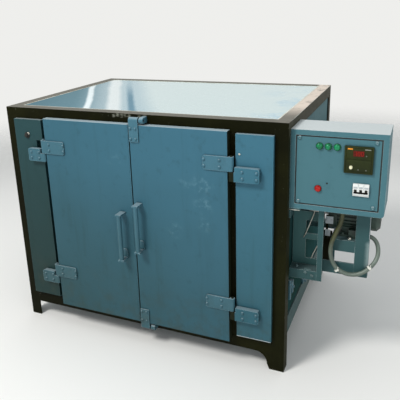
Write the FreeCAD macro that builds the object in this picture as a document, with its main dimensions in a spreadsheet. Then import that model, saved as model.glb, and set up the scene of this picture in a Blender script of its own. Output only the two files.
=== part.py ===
import FreeCAD, Part
import math
import os
import re
import Sketcher

# Hot air tray dryer: an insulated cabinet on an angle frame, with two overlay
# doors, a control box and a fan motor stand on its right side.
# Millimetres. The base of the legs is at Z 0 and the front faces -Y. The sizes
# are set out from the cabinet's front left corner; every piece is then placed
# through origin_x and origin_y, so that the row's origin is under the middle
# of the whole dryer.

doc = FreeCAD.newDocument("tray_dryer")
V = FreeCAD.Vector
ROT = FreeCAD.Rotation
Z_AXIS = V(0, 0, 1)
X_AXIS = V(1, 0, 0)

SIZES = [
    # cabinet
    ("cabinet_width", 1260.0),
    ("cabinet_depth", 881.0),
    ("cabinet_height", 1034.0),
    ("clear_under", 75.0),
    ("wall", 60.0),
    # angle iron frame, its side rails lifted above the front and rear ones
    ("flange", 50.0),
    ("iron", 5.0),
    ("side_rail_lift", 80.0),
    ("side_rail_leg", 75.0),
    ("gusset_radius", 50.0),
    ("gusset_toe", 20.0),
    ("gusset_taper", 10.0),
    # roof sheet that lies inside the top frame
    ("roof_sheet", 4.0),
    # front: raised stile panels, jambs and the duct walls behind them
    ("stile_proud", 18.0),
    ("stile_width", 142.0),
    ("stile_foot_gap", 14.0),
    ("stile_lap", 3.0),
    ("notch_width", 33.0),
    ("notch_height", 50.0),
    ("jamb_width", 50.0),
    ("duct_sheet", 3.0),
    # doors
    ("door_thickness", 30.0),
    ("door_stand_off", 5.0),
    ("hinge_gap", 26.0),
    ("meeting_gap", 7.0),
    ("door_lap_head", 14.0),
    ("door_lap_foot", 12.0),
    ("door_edge_round", 2.5),
    ("plug_depth", 50.0),
    ("plug_side_gap", 10.0),
    ("plug_end_gap", 10.0),
    ("plug_meeting_gap", 24.0),
    # hinges
    ("leaf_thickness", 5.0),
    ("leaf_height", 56.0),
    ("leaf_reach", 110.0),
    ("leaf_corner", 8.0),
    ("packer_inset", 1.0),
    ("stile_leaf_reach_right", 109.0),
    ("stile_leaf_reach_left", 78.0),
    ("leaf_drop", 38.0),
    ("leaf_clearance", 5.0),
    ("knuckle_radius", 10.0),
    ("pin_radius", 5.0),
    ("pin_clearance", 0.1),
    ("pin_end", 4.0),
    ("knuckle_gap", 2.0),
    ("hinge_below_head", 123.0),
    ("hinge_above_foot", 175.0),
    # handles
    ("handle_width", 25.0),
    ("handle_bar", 6.0),
    ("handle_grip_radius", 9.5),
    ("handle_stand_off", 45.0),
    ("handle_height", 210.0),
    ("handle_foot", 30.0),
    ("handle_left_offset", 50.0),
    ("handle_right_offset", 31.0),
    ("handle_left_rise", 303.0),
    ("handle_right_rise", 352.0),
    # latches
    ("latch_width", 40.0),
    ("latch_inset", 2.0),
    ("latch_grip", 68.0),
    ("latch_eye_radius", 12.0),
    ("latch_eye_bore", 5.0),
    ("latch_eye_rise", 18.0),
    ("latch_gap", 6.0),
    ("keeper_width", 17.0),
    # tray runners
    ("runner_leg", 25.0),
    ("runner_sheet", 2.0),
    ("runner_count", 8),
    # control box
    ("box_width", 333.0),
    ("box_depth", 163.0),
    ("box_height", 299.0),
    ("box_front", 28.0),
    ("box_below_top", 27.0),
    ("box_sheet", 3.0),
    ("box_border", 19.0),
    ("box_rebate", 9.0),
    ("box_corner", 12.0),
    ("cover_groove", 2.0),
    ("cover_sheet", 3.0),
    ("cover_inset", 1.0),
    # instruments, set out from the box's lower left corner
    ("controller_size", 96.0),
    ("controller_bezel", 9.0),
    ("controller_rim", 5.0),
    ("controller_sink", 1.5),
    ("controller_across", 190.0),
    ("controller_up", 157.0),
    ("breaker_width", 54.0),
    ("breaker_height", 45.0),
    ("breaker_nose", 9.0),
    ("breaker_lip", 6.0),
    ("breaker_across", 224.0),
    ("breaker_up", 74.0),
    ("toggle_slot", 15.0),
    ("toggle_slot_up", 10.0),
    ("slot_back", 1.0),
    ("toggle_cheek", 3.0),
    ("toggle_pivot", 4.0),
    ("toggle_bar_radius", 2.0),
    ("toggle_running_gap", 0.05),
    ("toggle_tilt", 30.0),
    ("toggle_reach", 12.0),
    ("toggle_lever_width", 7.0),
    ("toggle_lever_thick", 3.0),
    ("lamp_radius", 12.5),
    ("lamp_collar", 3.0),
    ("lamp_dome", 8.0),
    ("lamp_across", 103.0),
    ("lamp_up", 244.0),
    ("lamp_pitch", 30.5),
    ("red_lamp_up", 86.0),
    # motor stand, set out from the cabinet's side and the box's underside
    ("stand_setback", 100.0),
    ("stand_drop", 278.0),
    ("stand_plate", 6.0),
    ("stand_reach", 286.0),
    ("stand_bar", 50.0),
    ("stand_depth", 190.0),
    ("upright_across", 104.0),
    ("upright_width", 20.0),
    ("inner_bar_across", 145.0),
    ("inner_bar_width", 18.0),
    ("tray_setback", 60.0),
    ("tray_drop", 303.0),
    ("tray_lip", 38.0),
    ("tray_depth", 110.0),
    ("ledge_drop", 135.0),
    ("ledge_depth", 47.0),
    ("post_return", 24.0),
    ("ladder_setback", 110.0),
    ("ladder_stile", 50.0),
    ("ladder_edge", 8.0),
    ("ladder_drop", 40.0),
    ("ladder_foot", 29.0),
    ("ladder_low_window", 81.0),
    ("ladder_rung", 24.0),
    ("ladder_high_window", 55.0),
    ("arm_leg", 40.0),
    ("bracket_leg", 42.0),
    # motor
    ("motor_setback", 190.0),
    ("motor_centre_height", 71.0),
    ("motor_core", 49.0),
    ("motor_radius", 56.0),
    ("fin_thickness", 2.6),
    ("fin_count", 22),
    ("shield_across", 130.0),
    ("shield_width", 30.0),
    ("shield_radius", 57.0),
    ("motor_reach", 256.0),
    ("cowl_length", 60.0),
    ("cowl_radius", 52.0),
    ("cowl_edge", 12.0),
    ("shaft_radius", 9.5),
    ("foot_thickness", 8.0),
    ("foot_span", 112.0),
    ("foot_inset", 14.0),
    # conduit from the box's underside to the motor's terminal box
    ("conduit_radius", 8.0),
    ("gland_radius", 11.0),
    ("gland_length", 16.0),
    ("terminal_width", 44.0),
    ("terminal_height", 32.0),
    ("terminal_reach", 64.0),
]

# The conduit's route: across from the cabinet's side, back from the front
# plane and down from the box's underside. Its two ends lie on the glands.
ROUTE = [
    (187.0, 80.0, 16.0), (187.0, 80.0, 53.0), (166.0, 80.0, 103.0), (149.0, 80.0, 155.0),
    (152.0, 80.0, 208.0), (176.0, 80.0, 249.0), (218.0, 80.0, 266.0), (262.0, 80.0, 256.0),
    (296.0, 91.0, 229.0), (318.0, 115.0, 198.0), (318.0, 134.0, 163.0), (306.0, 140.0, 136.0),
    (285.0, 140.0, 122.0), (260.0, 140.0, 122.0),
]

DERIVED = [
    ("base", "clear_under + iron"),
    ("under_side_wall", "clear_under + side_rail_lift + iron"),
    ("floor_top", "clear_under + side_rail_lift + iron + wall"),
    ("under_top_flange", "cabinet_height - iron"),
    ("under_roof", "cabinet_height - iron - wall"),
    ("inner_left", "iron + wall"),
    ("inner_right", "cabinet_width - iron - wall"),
    ("inner_back", "cabinet_depth - iron - wall"),
    ("stile_edge", "flange + stile_width"),
    ("axis_inset", "flange + stile_width + hinge_gap / 2"),
    ("door_side_edge", "flange + stile_width + hinge_gap"),
    ("middle", "cabinet_width / 2"),
    ("door_head", "cabinet_height - flange + door_lap_head"),
    ("door_foot", "clear_under + flange - door_lap_foot"),
    ("door_face", "-door_stand_off - door_thickness"),
    ("leaf_front", "-door_stand_off - door_thickness - leaf_thickness"),
    ("hinge_high", "cabinet_height - flange + door_lap_head - hinge_below_head"),
    ("hinge_low", "clear_under + flange - door_lap_foot + hinge_above_foot"),
    ("box_top", "cabinet_height - box_below_top"),
    ("box_base", "cabinet_height - box_below_top - box_height"),
    ("box_right", "cabinet_width + box_width"),
    ("cover_face", "box_front + cover_inset"),
    ("ledge_top", "box_base - ledge_drop"),
    ("stand_right", "cabinet_width + stand_reach"),
    ("stand_base", "box_base - stand_drop"),
    ("upright_left", "cabinet_width + upright_across"),
    ("tray_base", "box_base - tray_drop"),
    ("motor_height", "box_base - ledge_drop + motor_centre_height"),
    ("shield_left", "cabinet_width + shield_across"),
    ("motor_right", "cabinet_width + motor_reach"),
    ("terminal_end", "cabinet_width + motor_reach - iron"),
]

sheet = doc.addObject("Spreadsheet::Sheet", "dims")
for row, (name, value) in enumerate(SIZES + DERIVED, start=1):
    sheet.set(f"A{row}", name)
    sheet.set(f"B{row}", "=" + value if isinstance(value, str) else str(value))
    sheet.setAlias(f"B{row}", name)
doc.recompute()


def size(name):
    value = sheet.get(name)
    return float(getattr(value, "Value", value))


def bound(text):
    """An expression in which every sheet name is read from the sheet."""
    names = {name for name, _ in SIZES + DERIVED}
    return re.sub(r"[a-z_]+", lambda word: "dims." * (word[0] in names) + word[0], text)


# The middle of the whole dryer, from the left leg to the control box's right
# side and from the handles' fronts to the back of the frame.
ORIGIN_X = "-(cabinet_width + box_width) / 2"
ORIGIN_Y = "-(cabinet_depth - door_stand_off - door_thickness - handle_stand_off) / 2"


def place(thing, x, y, z, rotation=None):
    """Place a thing at a point given in the cabinet's own frame."""
    if rotation is not None:
        thing.Placement = FreeCAD.Placement(V(0, 0, 0), rotation)
    thing.setExpression("Placement.Base.x", bound(f"({x}) + {ORIGIN_X}"))
    thing.setExpression("Placement.Base.y", bound(f"({y}) + {ORIGIN_Y}"))
    thing.setExpression("Placement.Base.z", bound(f"({z})"))


NODES = {}
SHARED = {}


def node(label, thing):
    """Name a piece that gets a file of its own."""
    thing.Label = label
    NODES[label] = thing
    return thing


def share(label, thing):
    """Put a piece among like pieces of one body that share a file."""
    SHARED.setdefault(label, []).append(thing)


def close_shared():
    for label, things in SHARED.items():
        group = doc.addObject("Part::Compound", "group_" + label)
        group.Links = things
        node(label, group)


def box(label, low, high):
    """A box between two corners given as expressions."""
    thing = doc.addObject("Part::Box", "box_" + label)
    for axis, prop in enumerate(("Length", "Width", "Height")):
        thing.setExpression(prop, bound(f"({high[axis]}) - ({low[axis]})"))
    place(thing, *low)
    return thing


def rod(label, start, radius, length, rotation=None):
    """A cylinder from a start point along Z, or along Z turned by a rotation."""
    thing = doc.addObject("Part::Cylinder", "rod_" + label)
    thing.setExpression("Radius", bound(radius))
    thing.setExpression("Height", bound(length))
    place(thing, *start, rotation)
    return thing


def fuse(label, pieces):
    thing = doc.addObject("Part::MultiFuse", "fuse_" + label)
    thing.Shapes = pieces
    thing.Refine = True
    return thing


def cut(label, base, tool):
    thing = doc.addObject("Part::Cut", "cut_" + label)
    thing.Base = base
    thing.Tool = tool
    thing.Refine = True
    return thing


ALONG_X = ROT(V(0, 1, 0), 90)
FORWARD = ROT(V(1, 0, 0), 90)


def origin_plane(body, role):
    for feature in body.Origin.OriginFeatures:
        if feature.Role == role:
            return feature
    raise ValueError(role)


def closed_line(sketch, points):
    """Draw lines through the points and back to the first, joined end to end."""
    first = sketch.GeometryCount
    for start, end in zip(points, points[1:] + points[:1]):
        sketch.addGeometry(Part.LineSegment(V(*start, 0), V(*end, 0)), False)
    count = len(points)
    for i in range(count):
        after = first + (i + 1) % count
        sketch.addConstraint(Sketcher.Constraint("Coincident", first + i, 2, after, 1))


def angle_bar(label, length, leg="flange", rise=None, thick="iron"):
    """An angle bar: its corner lies on local Z, its leg along local +X and its rise along +Y."""
    rise = rise or leg
    body = doc.addObject("PartDesign::Body", "bar_" + label)
    outline = body.newObject("Sketcher::SketchObject", "section_" + label)
    outline.AttachmentSupport = (origin_plane(body, "XY_Plane"), [""])
    outline.MapMode = "FlatFace"
    wide = size(leg)
    tall = size(rise)
    thin = size(thick)
    closed_line(outline, [(0, 0), (wide, 0), (wide, thin), (thin, thin), (thin, tall), (0, tall)])
    for edge in range(6):
        outline.addConstraint(Sketcher.Constraint("Vertical" if edge % 2 else "Horizontal", edge))
    outline.addConstraint(Sketcher.Constraint("Coincident", 0, 1, -1, 1))
    for edge, name in ((0, leg), (5, rise), (1, thick), (4, thick)):
        index = outline.addConstraint(Sketcher.Constraint("Distance", edge, size(name)))
        outline.setExpression(f"Constraints[{index}]", bound(name))
    pad = body.newObject("PartDesign::Pad", "length_" + label)
    pad.Profile = outline
    pad.setExpression("Length", bound(length))
    doc.recompute()
    return body


def build_frame():
    corners = [
        ("front_left", "0", "0", 0, "iron", "iron"),
        ("front_right", "cabinet_width", "0", 90, "cabinet_width - flange", "iron"),
        ("rear_right", "cabinet_width", "cabinet_depth", 180,
         "cabinet_width - flange", "cabinet_depth - flange"),
        ("rear_left", "0", "cabinet_depth", 270, "iron", "cabinet_depth - flange"),
    ]
    for corner, x, y, turn, cap_x, cap_y in corners:
        label = "post_" + corner
        bar = angle_bar(label, "cabinet_height")
        place(bar, x, y, "0", ROT(Z_AXIS, turn))
        cap = box("cap_" + corner,
                  (cap_x, cap_y, "cabinet_height - iron"),
                  (cap_x + " + flange - iron", cap_y + " + flange - iron", "cabinet_height"))
        pieces = [bar, cap]
        if corner == "front_right":
            pieces.append(foot_gusset())
        node(label, fuse(label, pieces))

    between = "cabinet_width - 2 * flange"
    between_y = "cabinet_depth - 2 * flange"
    starts = {
        "front": ("flange", "0", between, "clear_under"),
        "rear": ("flange", "cabinet_depth", between, "clear_under"),
        "left": ("0", "flange", between_y, "clear_under + side_rail_lift"),
        "right": ("cabinet_width", "flange", between_y, "clear_under + side_rail_lift"),
    }
    low = {
        "front": ROT(V(0, 1, 0), V(0, 0, 1), V(1, 0, 0), "ZXY"),
        "rear": ROT(V(0, 0, 1), V(0, -1, 0), V(1, 0, 0), "ZXY"),
        "left": ROT(V(0, 0, 1), V(1, 0, 0), V(0, 1, 0), "ZXY"),
        "right": ROT(V(-1, 0, 0), V(0, 0, 1), V(0, 1, 0), "ZXY"),
    }
    high = {
        "front": ROT(V(0, 0, -1), V(0, 1, 0), V(1, 0, 0), "ZXY"),
        "rear": ROT(V(0, -1, 0), V(0, 0, -1), V(1, 0, 0), "ZXY"),
        "left": ROT(V(1, 0, 0), V(0, 0, -1), V(0, 1, 0), "ZXY"),
        "right": ROT(V(0, 0, -1), V(-1, 0, 0), V(0, 1, 0), "ZXY"),
    }
    tall_legs = {
        "front": ("flange", "flange"),
        "rear": ("flange", "flange"),
        "left": ("side_rail_leg", "flange"),
        "right": ("flange", "side_rail_leg"),
    }
    for level, turns in (("bottom", low), ("top", high)):
        for side, (x, y, length, height) in starts.items():
            legs = tall_legs[side] if level == "bottom" else ("flange", "flange")
            bar = angle_bar(f"rail_{level}_{side}", length, leg=legs[0], rise=legs[1])
            place(bar, x, y, height if level == "bottom" else "cabinet_height", turns[side])
            run = "long" if side in ("front", "rear") else "short"
            share(f"rails_{level}_{run}", bar)


def foot_gusset():
    """The scooped plate that widens the front right leg, in the plane of the front."""
    body = doc.addObject("PartDesign::Body", "body_gusset")
    outline = body.newObject("Sketcher::SketchObject", "outline_gusset")
    outline.AttachmentSupport = (origin_plane(body, "XZ_Plane"), [""])
    outline.MapMode = "FlatFace"
    radius = size("gusset_radius")
    toe = size("gusset_toe")
    taper = size("gusset_taper")
    rise = size("clear_under")
    lines = [((0, 0), (0, rise)), ((0, rise), (-toe - radius, rise)),
             ((-toe, rise - radius), (-toe + taper, 0)), ((-toe + taper, 0), (0, 0))]
    for start, end in lines:
        outline.addGeometry(Part.LineSegment(V(*start, 0), V(*end, 0)), False)
    scoop = Part.Circle(V(-toe - radius, rise - radius, 0), Z_AXIS, radius)
    outline.addGeometry(Part.ArcOfCircle(scoop, 0, math.pi / 2), False)
    joins = [(0, 2, 1, 1), (1, 2, 4, 2), (4, 1, 2, 1), (2, 2, 3, 1), (3, 2, 0, 1)]
    for one, one_end, other, other_end in joins:
        outline.addConstraint(Sketcher.Constraint("Coincident", one, one_end, other, other_end))
    outline.addConstraint(Sketcher.Constraint("Coincident", 0, 1, -1, 1))
    outline.addConstraint(Sketcher.Constraint("Vertical", 0))
    outline.addConstraint(Sketcher.Constraint("Horizontal", 1))
    outline.addConstraint(Sketcher.Constraint("Horizontal", 3))
    for kind, edge, text in (("Distance", 0, "clear_under"), ("Distance", 1, "gusset_toe + gusset_radius"),
                             ("Distance", 3, "gusset_toe - gusset_taper"), ("Radius", 4, "gusset_radius")):
        now = {0: rise, 1: toe + radius, 3: toe - taper, 4: radius}[edge]
        index = outline.addConstraint(Sketcher.Constraint(kind, edge, now))
        outline.setExpression(f"Constraints[{index}]", bound(text))
    index = outline.addConstraint(Sketcher.Constraint("DistanceX", 4, 3, 0, 1, toe + radius))
    outline.setExpression(f"Constraints[{index}]", bound("gusset_toe + gusset_radius"))
    pad = body.newObject("PartDesign::Pad", "plate_gusset")
    pad.Profile = outline
    pad.Reversed = True
    pad.setExpression("Length", bound("iron"))
    doc.recompute()
    place(body, "cabinet_width - flange", "0", "0")
    return body


def build_walls():
    far_side = "cabinet_width - iron"
    far_back = "cabinet_depth - iron"
    share("walls_side", box("wall_left", ("iron", "iron", "under_side_wall"),
                            ("inner_left", far_back, "under_top_flange")))
    share("walls_side", box("wall_right", ("inner_right", "iron", "under_side_wall"),
                            (far_side, far_back, "under_top_flange")))
    node("wall_back", box("wall_back", ("inner_left", "inner_back", "base"),
                          ("inner_right", far_back, "under_top_flange")))
    slab = box("floor_slab", ("inner_left", "iron", "under_side_wall"),
               ("inner_right", "inner_back", "floor_top"))
    sill = box("floor_sill", ("flange", "iron", "base"),
               ("cabinet_width - flange", "iron + wall", "under_side_wall"))
    node("floor_panel", fuse("floor_panel", [slab, sill]))
    slab = box("roof_slab", ("inner_left", "iron", "under_roof"),
               ("inner_right", "inner_back", "under_top_flange"))
    skin = box("roof_skin", ("flange", "flange", "under_top_flange"),
               ("cabinet_width - flange", "cabinet_depth - flange", "under_top_flange + roof_sheet"))
    node("roof_panel", fuse("roof_panel", [slab, skin]))

    for side in ("left", "right"):
        low, high = span(side, "flange", "stile_edge")
        tray = box(f"stile_tray_{side}", (low, "-stile_proud", "clear_under + flange + stile_foot_gap"),
                   (high, "0", "cabinet_height - flange + stile_lap"))
        if side == "left":
            notch_low = "hinge_high - leaf_height / 2"
            notch = box("stile_notch", ("stile_edge - notch_width", "-2 * stile_proud", notch_low),
                        ("stile_edge + iron", "stile_proud / 2", f"{notch_low} + notch_height"))
            tray = cut("stile_tray_notched", tray, notch)
        low, high = span(side, "inner_left", "stile_edge")
        core = box(f"stile_core_{side}", (low, "0", "floor_top"), (high, "iron + wall", "under_roof"))
        node(f"stile_panel_{side}", fuse(f"stile_panel_{side}", [tray, core]))
        jamb = angle_bar(f"jamb_{side}", "under_roof - floor_top", leg="jamb_width")
        turned = ROT(Z_AXIS, 0 if side == "left" else 90)
        place(jamb, mirrored(side, "stile_edge"), "0", "floor_top", turned)
        share("jambs", jamb)
        low, high = span(side, "stile_edge + jamb_width - duct_sheet", "stile_edge + jamb_width")
        sheet_wall = box(f"duct_wall_{side}", (low, "iron", "floor_top"), (high, "inner_back", "under_roof"))
        share("duct_walls", sheet_wall)
        build_runners(side)


def build_runners(side):
    """Angle runners that carry the trays, one above another on a duct wall."""
    count = int(size("runner_count"))
    for level in range(count):
        bar = angle_bar(f"runner_{side}_{level + 1}", "inner_back - 2 * iron - wall - iron",
                        leg="runner_leg", thick="runner_sheet")
        if side == "left":
            turned = ROT(V(0, 0, 1), V(1, 0, 0), V(0, 1, 0), "ZXY")
        else:
            turned = ROT(V(-1, 0, 0), V(0, 0, 1), V(0, 1, 0), "ZXY")
        height = f"floor_top + (under_roof - floor_top) * {level + 0.4} / {count}"
        place(bar, mirrored(side, "stile_edge + jamb_width"), "2 * iron + wall", height, turned)
        share(f"tray_runners_{side}", bar)


def mirrored(side, x):
    """The same distance from the left or from the right side of the cabinet."""
    return f"({x})" if side == "left" else f"cabinet_width - ({x})"


def span(side, near, far):
    """Low and high X of a stretch, near and far from the side it is set out from."""
    ends = (mirrored(side, near), mirrored(side, far))
    return ends if side == "left" else (ends[1], ends[0])


def build_doors():
    for side in ("left", "right"):
        low, high = span(side, "door_side_edge", "middle - meeting_gap / 2")
        leaf = box(f"door_blank_{side}", (low, "door_face", "door_foot"),
                   (high, "-door_stand_off", "door_head"))
        rounded = doc.addObject("Part::Fillet", f"door_rounded_{side}")
        rounded.Base = leaf
        doc.recompute()
        front = leaf.Shape.BoundBox.YMin
        round_over = size("door_edge_round")
        edges = []
        for number, edge in enumerate(leaf.Shape.Edges, start=1):
            if abs(edge.BoundBox.YMax - front) < 0.01:
                edges.append((number, round_over, round_over))
        rounded.Edges = edges
        node(f"door_{side}", rounded)
        low, high = span(side, "stile_edge + jamb_width + plug_side_gap", "middle - plug_meeting_gap / 2")
        plug = box(f"door_plug_{side}", (low, "-door_stand_off", "floor_top + plug_end_gap"),
                   (high, "plug_depth - door_stand_off", "under_roof - plug_end_gap"))
        node(f"door_plug_{side}", plug)
        build_handle(side)
        for level in ("high", "low"):
            build_hinge(side, level)


def build_handle(side):
    """A round grip between two flat legs, the lower leg turned up against the door."""
    label = f"handle_{side}"
    body = doc.addObject("PartDesign::Body", "body_" + label)
    outline = body.newObject("Sketcher::SketchObject", "profile_" + label)
    outline.AttachmentSupport = (origin_plane(body, "YZ_Plane"), [""])
    outline.MapMode = "FlatFace"
    bar = size("handle_bar")
    off = size("handle_stand_off")
    foot = size("handle_foot")
    closed_line(outline, [(0, 0), (0, foot), (-bar, foot), (-bar, bar), (-off, bar), (-off, 0)])
    for edge in range(6):
        outline.addConstraint(Sketcher.Constraint("Horizontal" if edge % 2 else "Vertical", edge))
    outline.addConstraint(Sketcher.Constraint("Coincident", 0, 1, -1, 1))
    for edge, name in ((0, "handle_foot"), (1, "handle_bar"), (4, "handle_bar"), (5, "handle_stand_off")):
        index = outline.addConstraint(Sketcher.Constraint("Distance", edge, size(name)))
        outline.setExpression(f"Constraints[{index}]", bound(name))
    pad = body.newObject("PartDesign::Pad", "lower_leg_" + label)
    pad.Profile = outline
    pad.setExpression("Length", bound("handle_width"))
    pad.Midplane = True
    doc.recompute()
    sign = "-" if side == "left" else "+"
    middle_x = f"middle {sign} handle_{side}_offset"
    low_x = f"{middle_x} - handle_width / 2"
    high_x = f"{middle_x} + handle_width / 2"
    foot = f"door_foot + handle_{side}_rise"
    place(body, middle_x, "door_face", foot)
    head = f"{foot} + handle_height"
    upper = box(f"upper_leg_{label}", (low_x, "door_face - handle_stand_off", f"{head} - handle_bar"),
                (high_x, "door_face", head))
    grip = rod(f"grip_{label}",
               (middle_x, "door_face - handle_stand_off + handle_grip_radius", f"{foot} + handle_bar"),
               "handle_grip_radius", "handle_height - 2 * handle_bar")
    toe = box(f"handle_toe_{side}", (low_x, "door_face - handle_bar", f"{foot} + handle_foot"),
              (high_x, "door_face", f"{foot} + handle_foot + handle_width / 2"))
    disc = rod(f"handle_disc_{side}", (middle_x, "door_face", f"{foot} + handle_foot"),
               "handle_width / 2", "handle_bar", FORWARD)
    tip = doc.addObject("Part::Common", f"handle_tip_{side}")
    tip.Base = toe
    tip.Tool = disc
    node(label, fuse(label, [body, upper, grip, tip]))


def round_end(label, plate, radius, end):
    """Round the two corners at a plate's left or right end, as seen from the front."""
    rounded = doc.addObject("Part::Fillet", label)
    rounded.Base = plate
    doc.recompute()
    bounds = plate.Shape.BoundBox
    at_x = bounds.XMin if end == "left" else bounds.XMax
    edges = []
    for number, edge in enumerate(plate.Shape.Edges, start=1):
        runs_back = edge.BoundBox.YLength > edge.BoundBox.XLength + edge.BoundBox.ZLength
        if runs_back and abs(edge.BoundBox.XMin - at_x) < 0.01:
            edges.append((number, radius, radius))
    rounded.Edges = edges
    return rounded


def build_hinge(side, level):
    """A flag hinge: the door's leaf above, the stile's leaf and its pin below."""
    tag = f"{side}_{level}"
    axis = (mirrored(side, "axis_inset"), "leaf_front + knuckle_radius")
    door_low = f"hinge_{level} - leaf_height / 2"
    stile_low = f"{door_low} - leaf_drop"

    low, high = span(side, "axis_inset", "axis_inset + leaf_reach")
    plate = box(f"door_leaf_{tag}", (low, "leaf_front", door_low),
                (high, "door_face", f"{door_low} + leaf_height"))
    corner = size("leaf_corner")
    other = "right" if side == "left" else "left"
    plate = round_end(f"door_leaf_rounded_{tag}", plate, corner, other)
    knuckle = rod(f"door_knuckle_{tag}", (*axis, door_low), "knuckle_radius", "leaf_height")
    bore = rod(f"door_bore_{tag}", (*axis, f"{door_low} - iron"),
               "pin_radius + pin_clearance", "leaf_height + 2 * iron")
    leaf = cut(f"hinge_leaf_door_{tag}", fuse(f"door_side_{tag}", [plate, knuckle]), bore)
    share(f"hinge_leaves_door_{side}", leaf)

    reach = f"stile_leaf_reach_{side}"
    near = "axis_inset - knuckle_radius - leaf_clearance"
    low, high = span(side, f"axis_inset - {reach}", near)
    plate = box(f"stile_leaf_{tag}", (low, "leaf_front", stile_low),
                (high, "door_face", f"{stile_low} + leaf_height"))
    plate = round_end(f"stile_leaf_rounded_{tag}", plate, corner, side)
    low, high = span(side, near, "axis_inset")
    tongue = box(f"stile_tongue_{tag}", (low, "leaf_front", stile_low),
                 (high, "door_face", f"{door_low} - knuckle_gap"))
    knuckle = rod(f"stile_knuckle_{tag}", (*axis, stile_low), "knuckle_radius", "leaf_drop - knuckle_gap")
    pin = rod(f"pin_{tag}", (*axis, stile_low), "pin_radius", "leaf_drop + leaf_height + pin_end")
    low, high = span(side, f"axis_inset - {reach} + packer_inset", "stile_edge - packer_inset")
    packer = box(f"packer_{tag}", (low, "door_face", f"{stile_low} + packer_inset"),
                 (high, "-stile_proud", f"{stile_low} + leaf_height - packer_inset"))
    packer = round_end(f"packer_rounded_{tag}", packer, corner - size("packer_inset"), side)
    leaf = fuse(f"hinge_leaf_stile_{tag}", [plate, tongue, knuckle, pin, packer])
    share(f"hinge_leaves_stile_{side}", leaf)


def build_latches():
    """Two eyed plates on the right door and an eye for each on the frame."""
    face = "door_face"
    front = "leaf_front"
    axis_y = "leaf_front + latch_eye_radius"
    near = "middle + meeting_gap / 2 + latch_inset"
    for level, edge, sign in (("top", "door_head", 1), ("bottom", "door_foot", -1)):
        up = "+" if sign > 0 else "-"
        down = "-" if sign > 0 else "+"
        eye_z = f"{edge} {up} latch_eye_rise"
        grip_end = f"{edge} {down} latch_grip"
        low, high = (grip_end, eye_z) if sign > 0 else (eye_z, grip_end)
        plate = box(f"latch_plate_{level}", (near, front, low), (f"{near} + latch_width", face, high))
        eye = rod(f"latch_eye_{level}", (near, axis_y, eye_z), "latch_eye_radius", "latch_width", ALONG_X)
        bore = rod(f"latch_bore_{level}", (f"{near} - iron", axis_y, eye_z),
                   "latch_eye_bore", "latch_width + 2 * iron", ALONG_X)
        share("latches", cut(f"latch_{level}", fuse(f"latch_solid_{level}", [plate, eye]), bore))
        start = f"{near} + latch_width + latch_gap"
        eye = rod(f"keeper_eye_{level}", (start, axis_y, eye_z), "latch_eye_radius", "keeper_width", ALONG_X)
        lug = box(f"keeper_lug_{level}", (start, axis_y, f"{eye_z} - latch_eye_radius"),
                  (f"{start} + keeper_width", "0", f"{eye_z} + latch_eye_radius"))
        bore = rod(f"keeper_bore_{level}", (f"{start} - iron", axis_y, eye_z),
                   "latch_eye_bore", "keeper_width + 2 * iron", ALONG_X)
        share("latch_keepers", cut(f"keeper_{level}", fuse(f"keeper_solid_{level}", [eye, lug]), bore))


def build_control_box():
    left = "cabinet_width"
    back = "box_front + box_depth"
    stop = "cover_face + cover_sheet"
    outer = box("box_outer", (left, "box_front", "box_base"), ("box_right", back, "box_top"))
    bent = doc.addObject("Part::Fillet", "box_bent")
    bent.Base = outer
    doc.recompute()
    bounds = outer.Shape.BoundBox
    radius = size("box_corner")
    edges = []
    for number, edge in enumerate(outer.Shape.Edges, start=1):
        at_foot = abs(edge.BoundBox.ZMax - bounds.ZMin) < 0.01
        at_right = abs(edge.BoundBox.XMin - bounds.XMax) < 0.01
        if at_foot and at_right:
            edges.append((number, radius, radius))
    bent.Edges = edges
    inner = box("box_inner", (f"{left} + box_sheet", f"{stop} + cover_sheet", "box_base + box_sheet"),
                ("box_right - box_sheet", f"{back} - box_sheet", "box_top - box_sheet"))
    mouth = box("box_mouth", (f"{left} + box_border", "box_front - box_sheet", "box_base + box_border"),
                ("box_right - box_border", stop, "box_top - box_border"))
    rim = "box_border + box_rebate"
    throat = box("box_throat", (f"{left} + {rim}", "box_front", f"box_base + {rim}"),
                 (f"box_right - ({rim})", f"{stop} + 2 * cover_sheet", f"box_top - ({rim})"))
    node("control_box", cut("control_box", bent, fuse("box_away", [inner, mouth, throat])))
    inset = "box_border + cover_groove"
    node("control_cover", box("control_cover", (f"{left} + {inset}", "cover_face", f"box_base + {inset}"),
                              (f"box_right - ({inset})", stop, f"box_top - ({inset})")))
    build_controller()
    build_breaker()
    for i in range(3):
        across = f"{left} + lamp_across + {i} * lamp_pitch"
        share("lamps_green", lamp(f"green_{i + 1}", across, "box_base + lamp_up"))
    node("lamp_red", lamp("red", f"{left} + lamp_across", "box_base + red_lamp_up"))


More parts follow.
